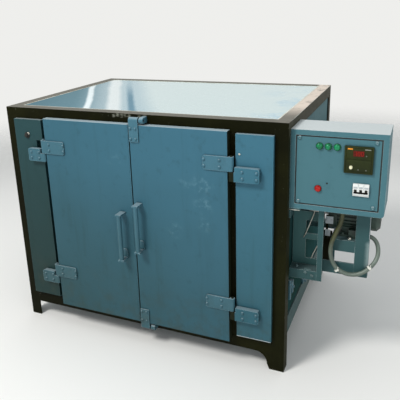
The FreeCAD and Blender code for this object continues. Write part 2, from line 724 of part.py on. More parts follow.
def lamp(tag, x, z):
    """A pilot lamp: a short collar and a faceted dome, made as one lathe profile."""
    body = doc.addObject("PartDesign::Body", "body_lamp_" + tag)
    outline = body.newObject("Sketcher::SketchObject", "profile_lamp_" + tag)
    outline.AttachmentSupport = (origin_plane(body, "XZ_Plane"), [""])
    outline.MapMode = "FlatFace"
    radius = size("lamp_radius")
    collar = size("lamp_collar")
    dome = size("lamp_dome")
    steps = [(1.0, 0.0), (0.8, 0.66), (0.4, 1.0)]
    corners = [(0, 0), (radius, 0)]
    corners += [(radius * across, collar + dome * rise) for across, rise in steps]
    corners.append((0, collar + dome))
    closed_line(outline, corners)
    outline.addConstraint(Sketcher.Constraint("Coincident", 0, 1, -1, 1))
    for corner in range(1, len(corners)):
        across, rise = corners[corner]
        share_across = across / radius
        share_rise = max(0.0, (rise - collar) / dome)
        for kind, now, text in (
                ("DistanceX", across, f"lamp_radius * {share_across}"),
                ("DistanceY", rise, f"lamp_collar * {1 if rise else 0} + lamp_dome * {share_rise}")):
            if now:
                index = outline.addConstraint(Sketcher.Constraint(kind, corner, 1, now))
                outline.setExpression(f"Constraints[{index}]", bound(text))
            else:
                axis = -2 if kind == "DistanceX" else -1
                outline.addConstraint(Sketcher.Constraint("PointOnObject", corner, 1, axis))
    lens = body.newObject("PartDesign::Revolution", "lens_" + tag)
    lens.Profile = outline
    lens.ReferenceAxis = (outline, ["V_Axis"])
    lens.Angle = 360
    doc.recompute()
    place(body, x, "cover_face", z, FORWARD)
    return body


def build_controller():
    left = "cabinet_width + controller_across"
    low = "box_base + controller_up"
    bezel = box("controller_bezel", (left, "cover_face - controller_bezel", low),
                (f"{left} + controller_size", "cover_face", f"{low} + controller_size"))
    sunk = "cover_face - controller_bezel + controller_sink"
    window = box("controller_window",
                 (f"{left} + controller_rim", "cover_face - 2 * controller_bezel", f"{low} + controller_rim"),
                 (f"{left} + controller_size - controller_rim", sunk,
                  f"{low} + controller_size - controller_rim"))
    node("temperature_controller", cut("temperature_controller", bezel, window))


def build_breaker():
    left = "cabinet_width + breaker_across"
    low = "box_base + breaker_up"
    slot_low = f"{low} + toggle_slot_up"
    middle_z = f"{slot_low} + toggle_slot / 2"
    pivot_y = "cover_face - toggle_pivot"
    body = doc.addObject("PartDesign::Body", "body_breaker")
    outline = body.newObject("Sketcher::SketchObject", "profile_breaker")
    outline.AttachmentSupport = (origin_plane(body, "YZ_Plane"), [""])
    outline.MapMode = "FlatFace"
    nose = size("breaker_nose")
    lip = size("breaker_lip")
    tall = size("breaker_height")
    step = size("toggle_slot_up")
    closed_line(outline, [(0, 0), (-lip, 0), (-nose, step), (-nose, tall * 0.72), (-lip, tall), (0, tall)])
    for edge, axis in ((0, "Horizontal"), (2, "Vertical"), (4, "Horizontal"), (5, "Vertical")):
        outline.addConstraint(Sketcher.Constraint(axis, edge))
    outline.addConstraint(Sketcher.Constraint("Coincident", 0, 1, -1, 1))
    for edge, name in ((0, "breaker_lip"), (4, "breaker_lip"), (5, "breaker_height")):
        index = outline.addConstraint(Sketcher.Constraint("Distance", edge, size(name)))
        outline.setExpression(f"Constraints[{index}]", bound(name))
    for kind, edge, end, now, text in (("DistanceX", 2, 1, -nose, "-breaker_nose"),
                                       ("DistanceY", 2, 1, step, "toggle_slot_up"),
                                       ("DistanceY", 2, 2, tall * 0.72, "breaker_height * 0.72")):
        index = outline.addConstraint(Sketcher.Constraint(kind, edge, end, now))
        outline.setExpression(f"Constraints[{index}]", bound(text))
    pad = body.newObject("PartDesign::Pad", "width_breaker")
    pad.Profile = outline
    pad.setExpression("Length", bound("breaker_width"))
    doc.recompute()
    place(body, left, "cover_face", low)
    right = f"{left} + breaker_width"
    slot = box("breaker_slot", (f"{left} + toggle_cheek", "cover_face - 2 * breaker_nose", slot_low),
               (f"{right} - toggle_cheek", "cover_face - slot_back", f"{slot_low} + toggle_slot"))
    bearing = rod("breaker_bearing", (f"{left} + toggle_cheek / 3", pivot_y, middle_z),
                  "toggle_bar_radius + toggle_running_gap", "breaker_width - toggle_cheek * 2 / 3", ALONG_X)
    node("circuit_breaker", cut("circuit_breaker", body, fuse("breaker_away", [slot, bearing])))

    bar = rod("toggle_bar", (f"{left} + toggle_cheek / 2", pivot_y, middle_z), "toggle_bar_radius",
              "breaker_width - toggle_cheek", ALONG_X)
    pieces = [bar]
    tilt = ROT(X_AXIS, -size("toggle_tilt"))
    for pole in range(3):
        lever = doc.addObject("Part::Box", f"toggle_lever_{pole + 1}")
        lever.setExpression("Length", bound("toggle_lever_width"))
        lever.setExpression("Width", bound("toggle_reach"))
        lever.setExpression("Height", bound("toggle_lever_thick"))
        lever_x = f"{left} + breaker_width * {2 * pole + 1} / 6 + toggle_lever_width / 2"
        place(lever, lever_x, pivot_y, middle_z, tilt.multiply(ROT(Z_AXIS, 180)))
        pieces.append(lever)
    node("breaker_toggle", fuse("breaker_toggle", pieces))


def build_stand():
    """The welded frame that carries the fan motor and props the control box."""
    wall_x = "cabinet_width"
    post_left = "stand_right - stand_bar"
    plate_back = "stand_setback + stand_plate"
    ladder_back = "ladder_setback + stand_plate"

    tray = box("tray_top", (wall_x, "tray_setback", "tray_base + tray_lip - stand_plate"),
               ("upright_left", "tray_setback + tray_depth", "tray_base + tray_lip"))
    lip = box("tray_lip", (wall_x, "tray_setback", "tray_base"),
              ("upright_left", "tray_setback + stand_plate", "tray_base + tray_lip"))
    node("stand_tray", fuse("stand_tray", [tray, lip]))

    web = box("upright_web", ("upright_left", "tray_setback", "tray_base"),
              ("upright_left + stand_plate", ladder_back, "box_base"))
    face = box("upright_face", ("upright_left", "tray_setback", "tray_base"),
               ("upright_left + upright_width", "tray_setback + stand_plate", "box_base"))
    node("stand_upright", fuse("stand_upright", [web, face]))

    tray_top = "tray_base + tray_lip"
    ladder = box("ladder_plate", (wall_x, "ladder_setback", tray_top),
                 ("upright_left", ladder_back, "box_base - ladder_drop"))
    windows = []
    low = f"{tray_top} + ladder_foot"
    for level in ("low", "high"):
        windows.append(box(f"ladder_window_{level}",
                           (f"{wall_x} + ladder_stile", "ladder_setback - iron", low),
                           ("upright_left - ladder_edge", f"{ladder_back} + iron",
                            f"{low} + ladder_{level}_window")))
        low = f"{low} + ladder_{level}_window + ladder_rung"
    node("stand_ladder", cut("stand_ladder", ladder, fuse("ladder_windows", windows)))

    base_left = "upright_left + stand_plate"
    front = box("base_face", (base_left, "stand_setback", "stand_base"),
                (post_left, plate_back, "stand_base + stand_bar"))
    flat = box("base_flat", (base_left, "stand_setback", "stand_base"),
               (post_left, "stand_setback + stand_bar", "stand_base + stand_plate"))
    node("stand_base_bar", fuse("stand_base_bar", [front, flat]))

    front = box("post_face", (post_left, "stand_setback", "stand_base"),
                ("stand_right", plate_back, "box_base"))
    side = box("post_side", ("stand_right - stand_plate", "stand_setback", "stand_base"),
               ("stand_right", "stand_setback + post_return", "box_base"))
    node("stand_post", fuse("stand_post", [front, side]))

    inner_left_x = f"{wall_x} + inner_bar_across"
    node("stand_inner_bar", box("stand_inner_bar",
                                (inner_left_x, "stand_setback", "stand_base + stand_bar"),
                                (f"{inner_left_x} + inner_bar_width", plate_back, "ledge_top - ledge_depth")))
    web = box("ledge_web", (inner_left_x, "stand_setback", "ledge_top - ledge_depth"),
              (post_left, plate_back, "ledge_top"))
    shelf = box("ledge_shelf", (inner_left_x, plate_back, "ledge_top - stand_plate"),
                (post_left, "stand_setback + stand_depth", "ledge_top"))
    node("motor_ledge", fuse("motor_ledge", [web, shelf]))

    rear = "stand_setback + stand_depth"
    arm = box("arm_flat", (wall_x, f"{rear} - arm_leg", "ledge_top - stand_plate"),
              (inner_left_x, rear, "ledge_top"))
    drop = box("arm_drop", (wall_x, f"{rear} - stand_plate", "ledge_top - arm_leg"),
               (inner_left_x, rear, "ledge_top"))
    node("stand_rear_arm", fuse("stand_rear_arm", [arm, drop]))

    flat = box("bracket_flat", (wall_x, "box_front", "box_base - stand_plate"),
               (f"{wall_x} + bracket_leg", "box_front + bracket_leg", "box_base"))
    leg = box("bracket_leg", (wall_x, "box_front", "box_base - bracket_leg"),
              (f"{wall_x} + stand_plate", "box_front + bracket_leg", "box_base"))
    node("box_bracket", fuse("box_bracket", [flat, leg]))


def build_motor():
    """A finned foot motor, its shaft running into the fan inside the side wall."""
    shell_left = "shield_left + shield_width"
    long = f"motor_right - ({shell_left})"
    core = rod("motor_core", (shell_left, "motor_setback", "motor_height"), "motor_core", long, ALONG_X)
    pieces = [core]
    count = int(size("fin_count"))
    for i in range(count):
        fin = doc.addObject("Part::Box", f"fin_{i + 1}")
        fin.setExpression("Length", bound(long))
        fin.setExpression("Width", bound("motor_radius"))
        fin.setExpression("Height", bound("fin_thickness"))
        place(fin, shell_left, "motor_setback", "motor_height", ROT(X_AXIS, 360.0 * (i + 0.5) / count))
        pieces.append(fin)
    foot_left = f"{shell_left} + foot_inset"
    foot_right = "motor_right - foot_inset"
    pieces.append(box("motor_foot", (foot_left, "motor_setback - foot_span / 2", "ledge_top"),
                      (foot_right, "motor_setback + foot_span / 2", "ledge_top + foot_thickness")))
    pieces.append(box("motor_saddle", (f"{foot_left} + iron", "motor_setback - foot_span / 3", "ledge_top"),
                      (f"{foot_right} - iron", "motor_setback + foot_span / 3",
                       "motor_height - motor_core / 2")))
    pieces.append(box("terminal_box",
                      ("terminal_end - terminal_width", "motor_setback - terminal_reach", "ledge_top"),
                      ("terminal_end", "motor_setback", "ledge_top + terminal_height")))
    node("motor_body", fuse("motor_body", pieces))

    shield = rod("shield_disc", ("shield_left", "motor_setback", "motor_height"),
                 "shield_radius", "shield_width", ALONG_X)
    shaft = rod("motor_shaft", ("cabinet_width", "motor_setback", "motor_height"), "shaft_radius",
                "shield_across", ALONG_X)
    node("motor_shield", shield)
    node("motor_shaft", shaft)
    cowl = rod("motor_cowl", ("motor_right", "motor_setback", "motor_height"),
               "cowl_radius", "cowl_length", ALONG_X)
    turned = doc.addObject("Part::Chamfer", "cowl_turned")
    turned.Base = cowl
    doc.recompute()
    end = cowl.Shape.BoundBox.XMax
    edge_size = size("cowl_edge")
    turned.Edges = [(number, edge_size, edge_size) for number, edge in enumerate(cowl.Shape.Edges, start=1)
                    if abs(edge.BoundBox.XMin - end) < 0.01]
    node("motor_cowl", turned)


def build_conduit():
    """A flexible conduit: straight runs joined by arcs as large as the runs allow."""
    start_x, start_y, start_z = ROUTE[0]
    points = [V(x - start_x, y - start_y, start_z - z) for x, y, z in ROUTE]
    edges = []
    last = points[0]
    radii = []
    for before, point, after in zip(points, points[1:], points[2:]):
        arriving = point - before
        leaving = after - point
        turn = arriving.getAngle(leaving)
        reach = 0.45 * min(arriving.Length, leaving.Length)
        radii.append(round(reach / math.tan(turn / 2), 1))
        arriving.normalize()
        leaving.normalize()
        low = point - arriving * reach
        high = point + leaving * reach
        inward = leaving - arriving
        inward.normalize()
        edges.append(Part.LineSegment(last, low).toShape())
        edges.append(Part.Arc(low, point + inward * depth_of_arc(reach, turn), high).toShape())
        last = high
    edges.append(Part.LineSegment(last, points[-1]).toShape())
    path = Part.Wire(edges)
    radius = size("conduit_radius")
    section = Part.Wire(Part.makeCircle(radius, points[0], points[1] - points[0]))
    tube = path.makePipeShell([section], True, True)
    print("conduit: length", round(path.Length, 1), "least radius", min(radii), "radii", radii)
    plain = math.pi * radius ** 2 * path.Length
    print("conduit: volume over section times length", round(tube.Volume / plain, 4))
    thing = doc.addObject("Part::Feature", "tube_conduit")
    thing.Shape = tube
    place(thing, f"cabinet_width + {start_x}", f"{start_y}", f"box_base - {start_z}")
    node("conduit", thing)

    x, y, _ = ROUTE[0]
    share("conduit_glands", rod("gland_box", (f"cabinet_width + {x}", f"{y}", "box_base - gland_length"),
                                "gland_radius", "gland_length"))
    _, y, z = ROUTE[-1]
    share("conduit_glands", rod("gland_motor", ("terminal_end", f"{y}", f"box_base - {z}"),
                                "gland_radius", f"cabinet_width + {ROUTE[-1][0]} - terminal_end", ALONG_X))


def depth_of_arc(reach, turn):
    """How far inside its corner an arc passes, for its reach along the two runs."""
    return reach / math.tan(turn / 2) * (1 / math.cos(turn / 2) - 1)


build_frame()
build_walls()
build_doors()
build_latches()
build_control_box()
build_stand()
build_motor()
build_conduit()
close_shared()
doc.recompute()

os.makedirs("parts", exist_ok=True)
broken = []
for thing in doc.Objects:
    if "Invalid" in thing.State or "Error" in thing.State:
        broken.append(thing.Name)
for label, thing in NODES.items():
    if thing.Shape.isNull() or not thing.Shape.isValid():
        broken.append(label)
if broken:
    raise RuntimeError("broken: " + ", ".join(broken))
for label, thing in NODES.items():
    thing.Shape.exportStep(f"parts/{label}.step")
print(len(NODES), "nodes")
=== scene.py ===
"""Looks for the hot air tray dryer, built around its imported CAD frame. Metres, +Z up."""

import math

import bmesh
import bpy
from mathutils import Matrix, Vector


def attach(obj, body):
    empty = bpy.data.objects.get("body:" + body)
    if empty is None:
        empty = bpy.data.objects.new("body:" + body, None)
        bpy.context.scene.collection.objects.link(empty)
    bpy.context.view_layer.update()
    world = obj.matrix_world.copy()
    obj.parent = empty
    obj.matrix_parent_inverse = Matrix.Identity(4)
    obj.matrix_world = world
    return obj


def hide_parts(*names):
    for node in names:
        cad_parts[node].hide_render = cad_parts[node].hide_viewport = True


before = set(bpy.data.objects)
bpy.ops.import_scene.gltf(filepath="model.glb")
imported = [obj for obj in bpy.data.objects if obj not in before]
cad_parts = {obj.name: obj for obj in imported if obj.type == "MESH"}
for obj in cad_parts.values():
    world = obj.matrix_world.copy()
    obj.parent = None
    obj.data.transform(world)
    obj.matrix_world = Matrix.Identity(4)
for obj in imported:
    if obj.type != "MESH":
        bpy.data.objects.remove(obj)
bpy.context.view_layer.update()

# The cabinet's lower left front corner in the shared frame.
CORNER_X, CORNER_Y = -0.7965, -0.4005

# Planes and centres of the CAD frame, in millimetres from that corner.
CABINET_WIDTH = 1260
FITTING_FACE = -40
DOOR_FACE = -35
STILE_FACE = -18
COVER_FACE = 29
CONTROLLER_FACE = 21.5
MOTOR_Y, MOTOR_Z = 190, 644

FRONT = (0, -1, 0)
RIGHT = (1, 0, 0)
LEFT = (-1, 0, 0)
UP = (0, 0, 1)


def at(x, y, z):
    """A point given in millimetres from the cabinet's lower left front corner."""
    return Vector((CORNER_X, CORNER_Y, 0.0)) + Vector((x, y, z)) / 1000


# Camera, fitted to the cabinet's edges in the photo

CAMERA_PLACE = (0.8817, -2.2150, 1.4558)
CAMERA_TURN = (23.96, -16.95, -1.92)
CAMERA_SHIFT = (0.0275, -0.091)
FOCAL_PIXELS = 535.6
IMAGE_PIXELS = 400


def add_camera():
    """The photo's viewpoint. The turn is yaw, pitch and roll in degrees."""
    yaw, pitch, roll = (math.radians(angle) for angle in CAMERA_TURN)
    forward = Vector((-math.sin(yaw) * math.cos(pitch), math.cos(yaw) * math.cos(pitch),
                      math.sin(pitch)))
    level = Vector((math.cos(yaw), math.sin(yaw), 0))
    upright = level.cross(forward)
    right = math.cos(roll) * level + math.sin(roll) * upright
    up = math.cos(roll) * upright - math.sin(roll) * level
    data = bpy.data.cameras.new("camera")
    data.sensor_width = 36
    data.lens = FOCAL_PIXELS / IMAGE_PIXELS * data.sensor_width
    data.shift_x, data.shift_y = CAMERA_SHIFT
    data.clip_end = 60
    camera = bpy.data.objects.new("camera", data)
    bpy.context.scene.collection.objects.link(camera)
    turned = Matrix((right, up, -forward)).transposed().to_4x4()
    camera.matrix_world = Matrix.Translation(CAMERA_PLACE) @ turned
    bpy.context.scene.camera = camera


add_camera()
bpy.context.scene.view_settings.view_transform = "Standard"


# Materials

EDGE_ROUNDING = 0.0012
SOFT_SAMPLES = 6


class Shader:
    """A short way to write a procedural material. Patterns lie in the piece's own space."""

    def __init__(self, name):
        self.material = bpy.data.materials.new(name)
        self.material.use_nodes = True
        self.tree = self.material.node_tree
        self.tree.nodes.clear()
        self.out = self.tree.nodes.new("ShaderNodeOutputMaterial")
        own = self.tree.nodes.new("ShaderNodeTexCoord").outputs
        self.place = own["Object"]
        self.own_normal = own["Normal"]
        self.shader = self.tree.nodes.new("ShaderNodeBsdfPrincipled")
        self.tree.links.new(self.shader.outputs[0], self.out.inputs["Surface"])

    def put(self, socket, value):
        """Link an output to a socket, or set the socket's own value."""
        if isinstance(value, bpy.types.NodeSocket):
            self.tree.links.new(value, socket)
        elif isinstance(value, (tuple, list)) and len(value) == 3 and socket.type == "RGBA":
            socket.default_value = (*value, 1)
        else:
            socket.default_value = value

    def set(self, **values):
        """Fill inputs of the main shader, with _ for each space in a name."""
        for name, value in values.items():
            self.put(self.shader.inputs[name.replace("_", " ")], value)

    def math(self, kind, a, b=0.0, clamp=False):
        node = self.tree.nodes.new("ShaderNodeMath")
        node.operation = kind
        node.use_clamp = clamp
        self.put(node.inputs[0], a)
        self.put(node.inputs[1], b)
        return node.outputs[0]

    def plus(self, a, b):
        return self.math("ADD", a, b)

    def minus(self, a, b, clamp=False):
        return self.math("SUBTRACT", a, b, clamp)

    def times(self, a, b, clamp=False):
        return self.math("MULTIPLY", a, b, clamp)

    def most(self, a, b):
        return self.math("MAXIMUM", a, b)

    def stretch(self, x, y, z):
        """The place, scaled along each axis."""
        node = self.tree.nodes.new("ShaderNodeVectorMath")
        node.operation = "MULTIPLY"
        self.put(node.inputs[0], self.place)
        node.inputs[1].default_value = (x, y, z)
        return node.outputs[0]

    def noise(self, scale, detail=4.0, rough=0.5, where=None, twist=0.0):
        node = self.tree.nodes.new("ShaderNodeTexNoise")
        self.put(node.inputs["Vector"], where or self.place)
        node.inputs["Scale"].default_value = scale
        node.inputs["Detail"].default_value = detail
        node.inputs["Roughness"].default_value = rough
        node.inputs["Distortion"].default_value = twist
        return node.outputs["Fac"]

    def span(self, value, low, high, to_low=0.0, to_high=1.0):
        """A smooth step from to_low at low to to_high at high."""
        node = self.tree.nodes.new("ShaderNodeMapRange")
        node.interpolation_type = "SMOOTHSTEP"
        self.put(node.inputs["Value"], value)
        node.inputs["From Min"].default_value = low
        node.inputs["From Max"].default_value = high
        node.inputs["To Min"].default_value = to_low
        node.inputs["To Max"].default_value = to_high
        return node.outputs["Result"]

    def mix(self, amount, a, b):
        """Colour a, turning into colour b as the amount goes from 0 to 1."""
        node = self.tree.nodes.new("ShaderNodeMix")
        node.data_type = "RGBA"
        self.put(node.inputs[0], amount)
        self.put(node.inputs[6], a)
        self.put(node.inputs[7], b)
        return node.outputs[2]

    def part(self, vector, name):
        node = self.tree.nodes.new("ShaderNodeSeparateXYZ")
        self.put(node.inputs[0], vector)
        return node.outputs[name]

    def axis(self, name):
        """How far along an axis a point lies, in metres."""
        return self.part(self.place, name)

    def near(self, point, radius):
        """1 at a point, falling to 0 at a radius from it."""
        node = self.tree.nodes.new("ShaderNodeVectorMath")
        node.operation = "DISTANCE"
        self.put(node.inputs[0], self.place)
        node.inputs[1].default_value = point
        return self.span(node.outputs["Value"], radius, 0.0)

    def rounded(self, radius):
        """A normal that turns over each edge as if it were rounded."""
        bevel = self.tree.nodes.new("ShaderNodeBevel")
        bevel.samples = SOFT_SAMPLES
        bevel.inputs["Radius"].default_value = radius
        return bevel.outputs[0]

    def edges(self, radius, low=0.02, high=0.25):
        """1 along sharp edges and 0 on flat faces."""
        bevel = self.rounded(radius)
        flat = self.tree.nodes.new("ShaderNodeNewGeometry")
        dot = self.tree.nodes.new("ShaderNodeVectorMath")
        dot.operation = "DOT_PRODUCT"
        self.put(dot.inputs[0], bevel)
        self.put(dot.inputs[1], flat.outputs["Normal"])
        return self.span(self.minus(1.0, dot.outputs["Value"]), low, high)

    def band(self, value, centre, reach, flat=0.0):
        """1 within a flat part of the reach from a centre, falling to 0 at the reach."""
        away = self.math("ABSOLUTE", self.minus(value, centre))
        return self.span(away, reach, reach * flat)

    def turned(self, name, low=0.45, high=0.95):
        """1 where a face is turned along an axis of its own piece, 0 elsewhere."""
        return self.span(self.part(self.own_normal, name), low, high)

    def crease_shade(self, reach):
        """1 in corners and beside raised pieces, 0 in the open: a mask for painted shade."""
        node = self.tree.nodes.new("ShaderNodeAmbientOcclusion")
        node.samples = SOFT_SAMPLES
        node.inputs["Distance"].default_value = reach
        return self.span(node.outputs["AO"], 0.9, 0.35)

    def bump(self, *layers):
        """Each layer is (height, strength, distance in metres)."""
        last = self.rounded(EDGE_ROUNDING)
        for height, strength, distance in layers:
            node = self.tree.nodes.new("ShaderNodeBump")
            node.inputs["Strength"].default_value = strength
            node.inputs["Distance"].default_value = distance
            self.put(node.inputs["Height"], height)
            self.put(node.inputs["Normal"], last)
            last = node.outputs[0]
        self.set(Normal=last)


GRIME = (0.040, 0.048, 0.032)
# Dark tone of the box's painted shadow on the right wall.
BOX_SHADOW_TONE = (0.016, 0.046, 0.040)
# Black of the painted shade on the right stile hinges' knuckles.
KNUCKLE_SHADE = (0.012, 0.015, 0.008)
SHADED_EDGE = (0.010, 0.013, 0.006)


def darker(colour, share):
    return tuple(channel * share for channel in colour)


def paint(name, light, dark, worn, gloss=0.42, grime=0.6, wear=0.6, dust=0.55, scuffs_and_glare=(),
          patch_low=0.47, dark_sides=False, sheen=0.20, painted_shadow=None, shade_to_x=None, painted_reflection=None):
    """Brushed shop enamel: uneven tone, grime low down, worn edges, and painted shade in corners.

    light and dark are its tones high up and low down; painted light adds to it, darker to the
    left and lighter to the right. Upward faces turn pale, partly with dust and partly as painted
    top light. worn is its colour on worn spots and edges. scuffs holds (point, radius, strength)
    of scuff marks and of painted highlights, and stain the (point, radius) of a painted shadow.
    greasy is the x up to which it is painted black as shade, and faded the colour of a painted
    reflection on the right wall near its top.
    """
    s = Shader(name)
    height = s.span(s.axis("Z"), 0.14, 1.04)
    cloud = s.noise(2.3, 5, 0.55, twist=0.4)
    mottle = s.noise(26, 6, 0.62)
    runs = s.noise(9, 5, 0.6, s.stretch(3.2, 3.2, 0.35))
    # Painted light: the tone is darker to the left and lighter to the right.
    across = s.span(s.axis("X"), -0.75, 0.4, -0.12, 0.24)
    tone = s.plus(s.times(height, 0.66), s.times(cloud, 0.36))
    tone = s.plus(tone, across)
    tone = s.minus(tone, s.times(s.span(runs, 0.5, 0.72), 0.14), clamp=True)
    colour = s.mix(tone, dark, light)
    # Painted shadow: the box's shade on the right wall near the motor, drawn as a dark patch.
    if painted_shadow:
        patchy = s.span(s.noise(6, 5, 0.62), 0.25, 0.72, 0.55, 1.55)
        colour = s.mix(s.times(s.near(*painted_shadow), patchy, clamp=True), colour, BOX_SHADOW_TONE)
    # Painted reflection: the right wall turns lighter near its top.
    if painted_reflection:
        right_wall = s.span(s.axis("X"), 0.40, 0.44)
        high = s.times(s.span(s.axis("Z"), 0.66, 1.0), s.span(mottle, 0.2, 0.6, 0.7, 1.0))
        colour = s.mix(s.times(right_wall, high), colour, painted_reflection)
    colour = s.mix(s.span(mottle, 0.56, 0.72, 0.0, 0.24), colour, darker(dark, 0.78))
    dirt = s.times(s.span(s.axis("Z"), 0.42, 0.02), s.span(s.noise(14, 6, 0.66), 0.38, 0.72))
    colour = s.mix(s.times(dirt, grime), colour, GRIME)
    # Painted shade in corners and beside raised pieces.
    corner = s.times(s.crease_shade(0.012), s.span(s.noise(30, 4, 0.6), 0.25, 0.6, 0.55, 1.0))
    colour = s.mix(s.times(corner, 0.72), colour, darker(dark, 0.22))
    # Worn patches: scuff marks on the doors, and on the box and the post a painted reflection and
    # a painted highlight.
    rub_and_glare = None
    for point, radius, strength in scuffs_and_glare:
        close = s.near(point, radius)
        patchy = s.span(s.noise(42, 6, 0.72), patch_low, patch_low + 0.19, 0.0, strength)
        spot = s.times(close, patchy)
        rub_and_glare = spot if rub_and_glare is None else s.most(rub_and_glare, spot)
    if rub_and_glare is not None:
        colour = s.mix(rub_and_glare, colour, worn)
    # Pale upward faces: partly dust, partly painted top light.
    dust_and_top_light = tuple(0.4 * channel + 0.28 for channel in worn)
    colour = s.mix(s.times(s.turned("Z"), dust), colour, dust_and_top_light)
    edge = s.times(s.edges(0.0022), s.span(s.noise(18, 5, 0.6), 0.30, 0.56))
    colour = s.mix(s.times(edge, wear), colour, worn)
    if dark_sides:
        colour = s.mix(s.turned("X", 0.6, 0.9), colour, SHADED_EDGE)
    # Painted shade: black up to an x, where the hinge knuckle is set back in shadow.
    if shade_to_x:
        colour = s.mix(s.span(s.axis("X"), shade_to_x + 0.002, shade_to_x - 0.001), colour, KNUCKLE_SHADE)
    rough = s.plus(s.times(mottle, 0.16), gloss)
    s.set(Base_Color=colour, Roughness=rough, Specular_IOR_Level=sheen)
    s.bump((s.noise(150, 3, 0.5), 0.10, 0.0006), (s.noise(11, 3, 0.5), 0.22, 0.0022),
           (s.noise(55, 4, 0.6, s.stretch(1, 1, 0.25)), 0.10, 0.0008))
    return s.material


# Chips in the front of the upper rail, as x and z in millimetres.
RAIL_CHIPS = ((548, 1024), (566, 1027), (584, 1025), (602, 1028), (618, 1026), (664, 1024),
              (690, 1028))


def black_iron(name):
    """Angle iron under thick olive-black paint chipped to steel on its edges, with painted light
    and reflection.
    """
    s = Shader(name)
    mottle = s.noise(30, 6, 0.62)
    cloud = s.span(s.noise(4, 5, 0.6), 0.35, 0.7)
    colour = s.mix(cloud, (0.0045, 0.0048, 0.0008), (0.0100, 0.0105, 0.0018))
    colour = s.mix(s.span(mottle, 0.58, 0.8, 0.0, 0.25), colour, (0.026, 0.025, 0.009))
    chips = s.times(s.edges(0.0022, 0.04, 0.2), s.span(s.noise(42, 6, 0.7), 0.58, 0.66))
    specks = s.span(s.noise(160, 2, 0.5), 0.735, 0.77)
    spots = None
    for x, z in RAIL_CHIPS:
        spot = s.near(at(x, 0, z), 0.012)
        spots = spot if spots is None else s.most(spots, spot)
    spots = s.times(spots, s.span(s.noise(90, 4, 0.6, s.stretch(0.5, 1, 2.5)), 0.42, 0.55))
    chips = s.most(s.times(chips, 0.8), s.most(spots, specks))
    colour = s.mix(s.times(chips, 0.7), colour, (0.30, 0.31, 0.25))
    # Painted light: faces turned along x are lighter, and the upper rail's side more so.
    colour = s.mix(s.times(s.turned("X"), 0.4), colour, (0.034, 0.036, 0.016))
    rail_side = s.times(s.turned("X"), s.span(s.axis("Z"), 0.97, 0.99, 0.0, 0.35))
    colour = s.mix(rail_side, colour, (0.095, 0.090, 0.062))
    # Painted light: the upper rail's top face is lighter.
    ledge = s.times(s.turned("Z"), s.span(s.axis("Z"), 0.98, 1.0))
    colour = s.mix(s.times(ledge, 0.72), colour, (0.185, 0.180, 0.155))
    # Painted reflection: a pale pinkish patch on the right part of the upper rail's top face.
    right = s.times(s.span(s.axis("X"), 0.40, 0.42), s.span(s.axis("Y"), -0.32, -0.06, 0.04, 1.0))
    mirrored_patch = s.span(s.noise(16, 5, 0.7), 0.28, 0.50)
    colour = s.mix(s.times(s.times(ledge, right), mirrored_patch), colour, (0.66, 0.58, 0.50))
    # Painted highlight: a pale line along the upper rail's front edge, at its right.
    line = s.times(s.edges(0.0035, 0.02, 0.12), s.span(s.axis("Z"), 1.020, 1.030))
    line = s.times(line, s.span(s.axis("Y"), -0.38, -0.30, 0.0, 0.85))
    line = s.times(line, s.span(s.axis("X"), 0.36, 0.42))
    colour = s.mix(line, colour, (0.62, 0.64, 0.60))
    rough = s.plus(0.44, s.times(mottle, 0.22))
    s.set(Base_Color=colour, Roughness=rough, Specular_IOR_Level=0.06)
    s.bump((s.noise(120, 3, 0.5), 0.12, 0.0006), (s.noise(22, 4, 0.55), 0.3, 0.0018),
           (chips, -0.5, 0.0004))
    return s.material


# The roof's painted reflection streaks run askew: x falls by this much for each metre of y.
ROOF_SLANT = 0.59


def roof_mirror(name):
    """Bright stainless sheet, reflections painted in: blue-grey at left, two bright streaks, a
    dark one, pale.
    """
    s = Shader(name)
    grain = s.noise(60, 4, 0.6, s.stretch(1.0, 14.0, 1.0))
    cloud = s.noise(1.7, 4, 0.5)
    bend = s.times(s.minus(s.noise(2.2, 3, 0.5), 0.5), 0.05)
    along = s.plus(s.axis("X"), s.times(s.axis("Y"), ROOF_SLANT))
    along = s.plus(s.plus(along, -CORNER_X - ROOF_SLANT * CORNER_Y), bend)
    # Painted reflections: bands and streaks of mirrored surroundings, set askew across the sheet.
    base = s.mix(s.span(along, 0.02, 0.36), (0.070, 0.150, 0.188), (0.110, 0.210, 0.252))
    base = s.mix(s.span(along, 0.32, 0.62), base, (0.42, 0.60, 0.68))
    for centre, reach, strength in ((0.412, 0.024, 0.80), (0.548, 0.052, 0.90)):
        streak = s.times(s.band(along, centre, reach, 0.3), strength)
        base = s.mix(streak, base, (0.86, 0.94, 0.96))
    base = s.mix(s.span(along, 0.66, 0.78), base, (0.66, 0.80, 0.82))
    shade = s.times(s.band(along, 0.635, 0.030, 0.2), s.span(s.axis("Y"), 0.40, -0.1, 0.2, 0.85))
    base = s.mix(shade, base, (0.055, 0.170, 0.250))
    edge = s.times(s.span(s.axis("X"), 0.16, 0.40), s.span(s.noise(7, 5, 0.65), 0.44, 0.66))
    base = s.mix(s.times(edge, 0.6), base, (0.36, 0.62, 0.80))
    dust = s.span(s.noise(38, 6, 0.7), 0.60, 0.82, 0.0, 0.14)
    base = s.mix(dust, base, (0.55, 0.55, 0.50))
    dull = s.most(s.span(along, 0.56, 0.34), s.times(shade, 0.9))
    metal = s.minus(0.9, s.times(dull, 0.76))
    rough = s.plus(0.20, s.plus(s.times(grain, 0.12), dust))
    s.set(Base_Color=base, Metallic=metal, Roughness=rough, Specular_IOR_Level=0.0)
    s.bump((cloud, 0.5, 0.004), (grain, 0.06, 0.0004))
    return s.material


SHEET_METAL = 0.9
DUCT_HOLE_PITCH = 0.042


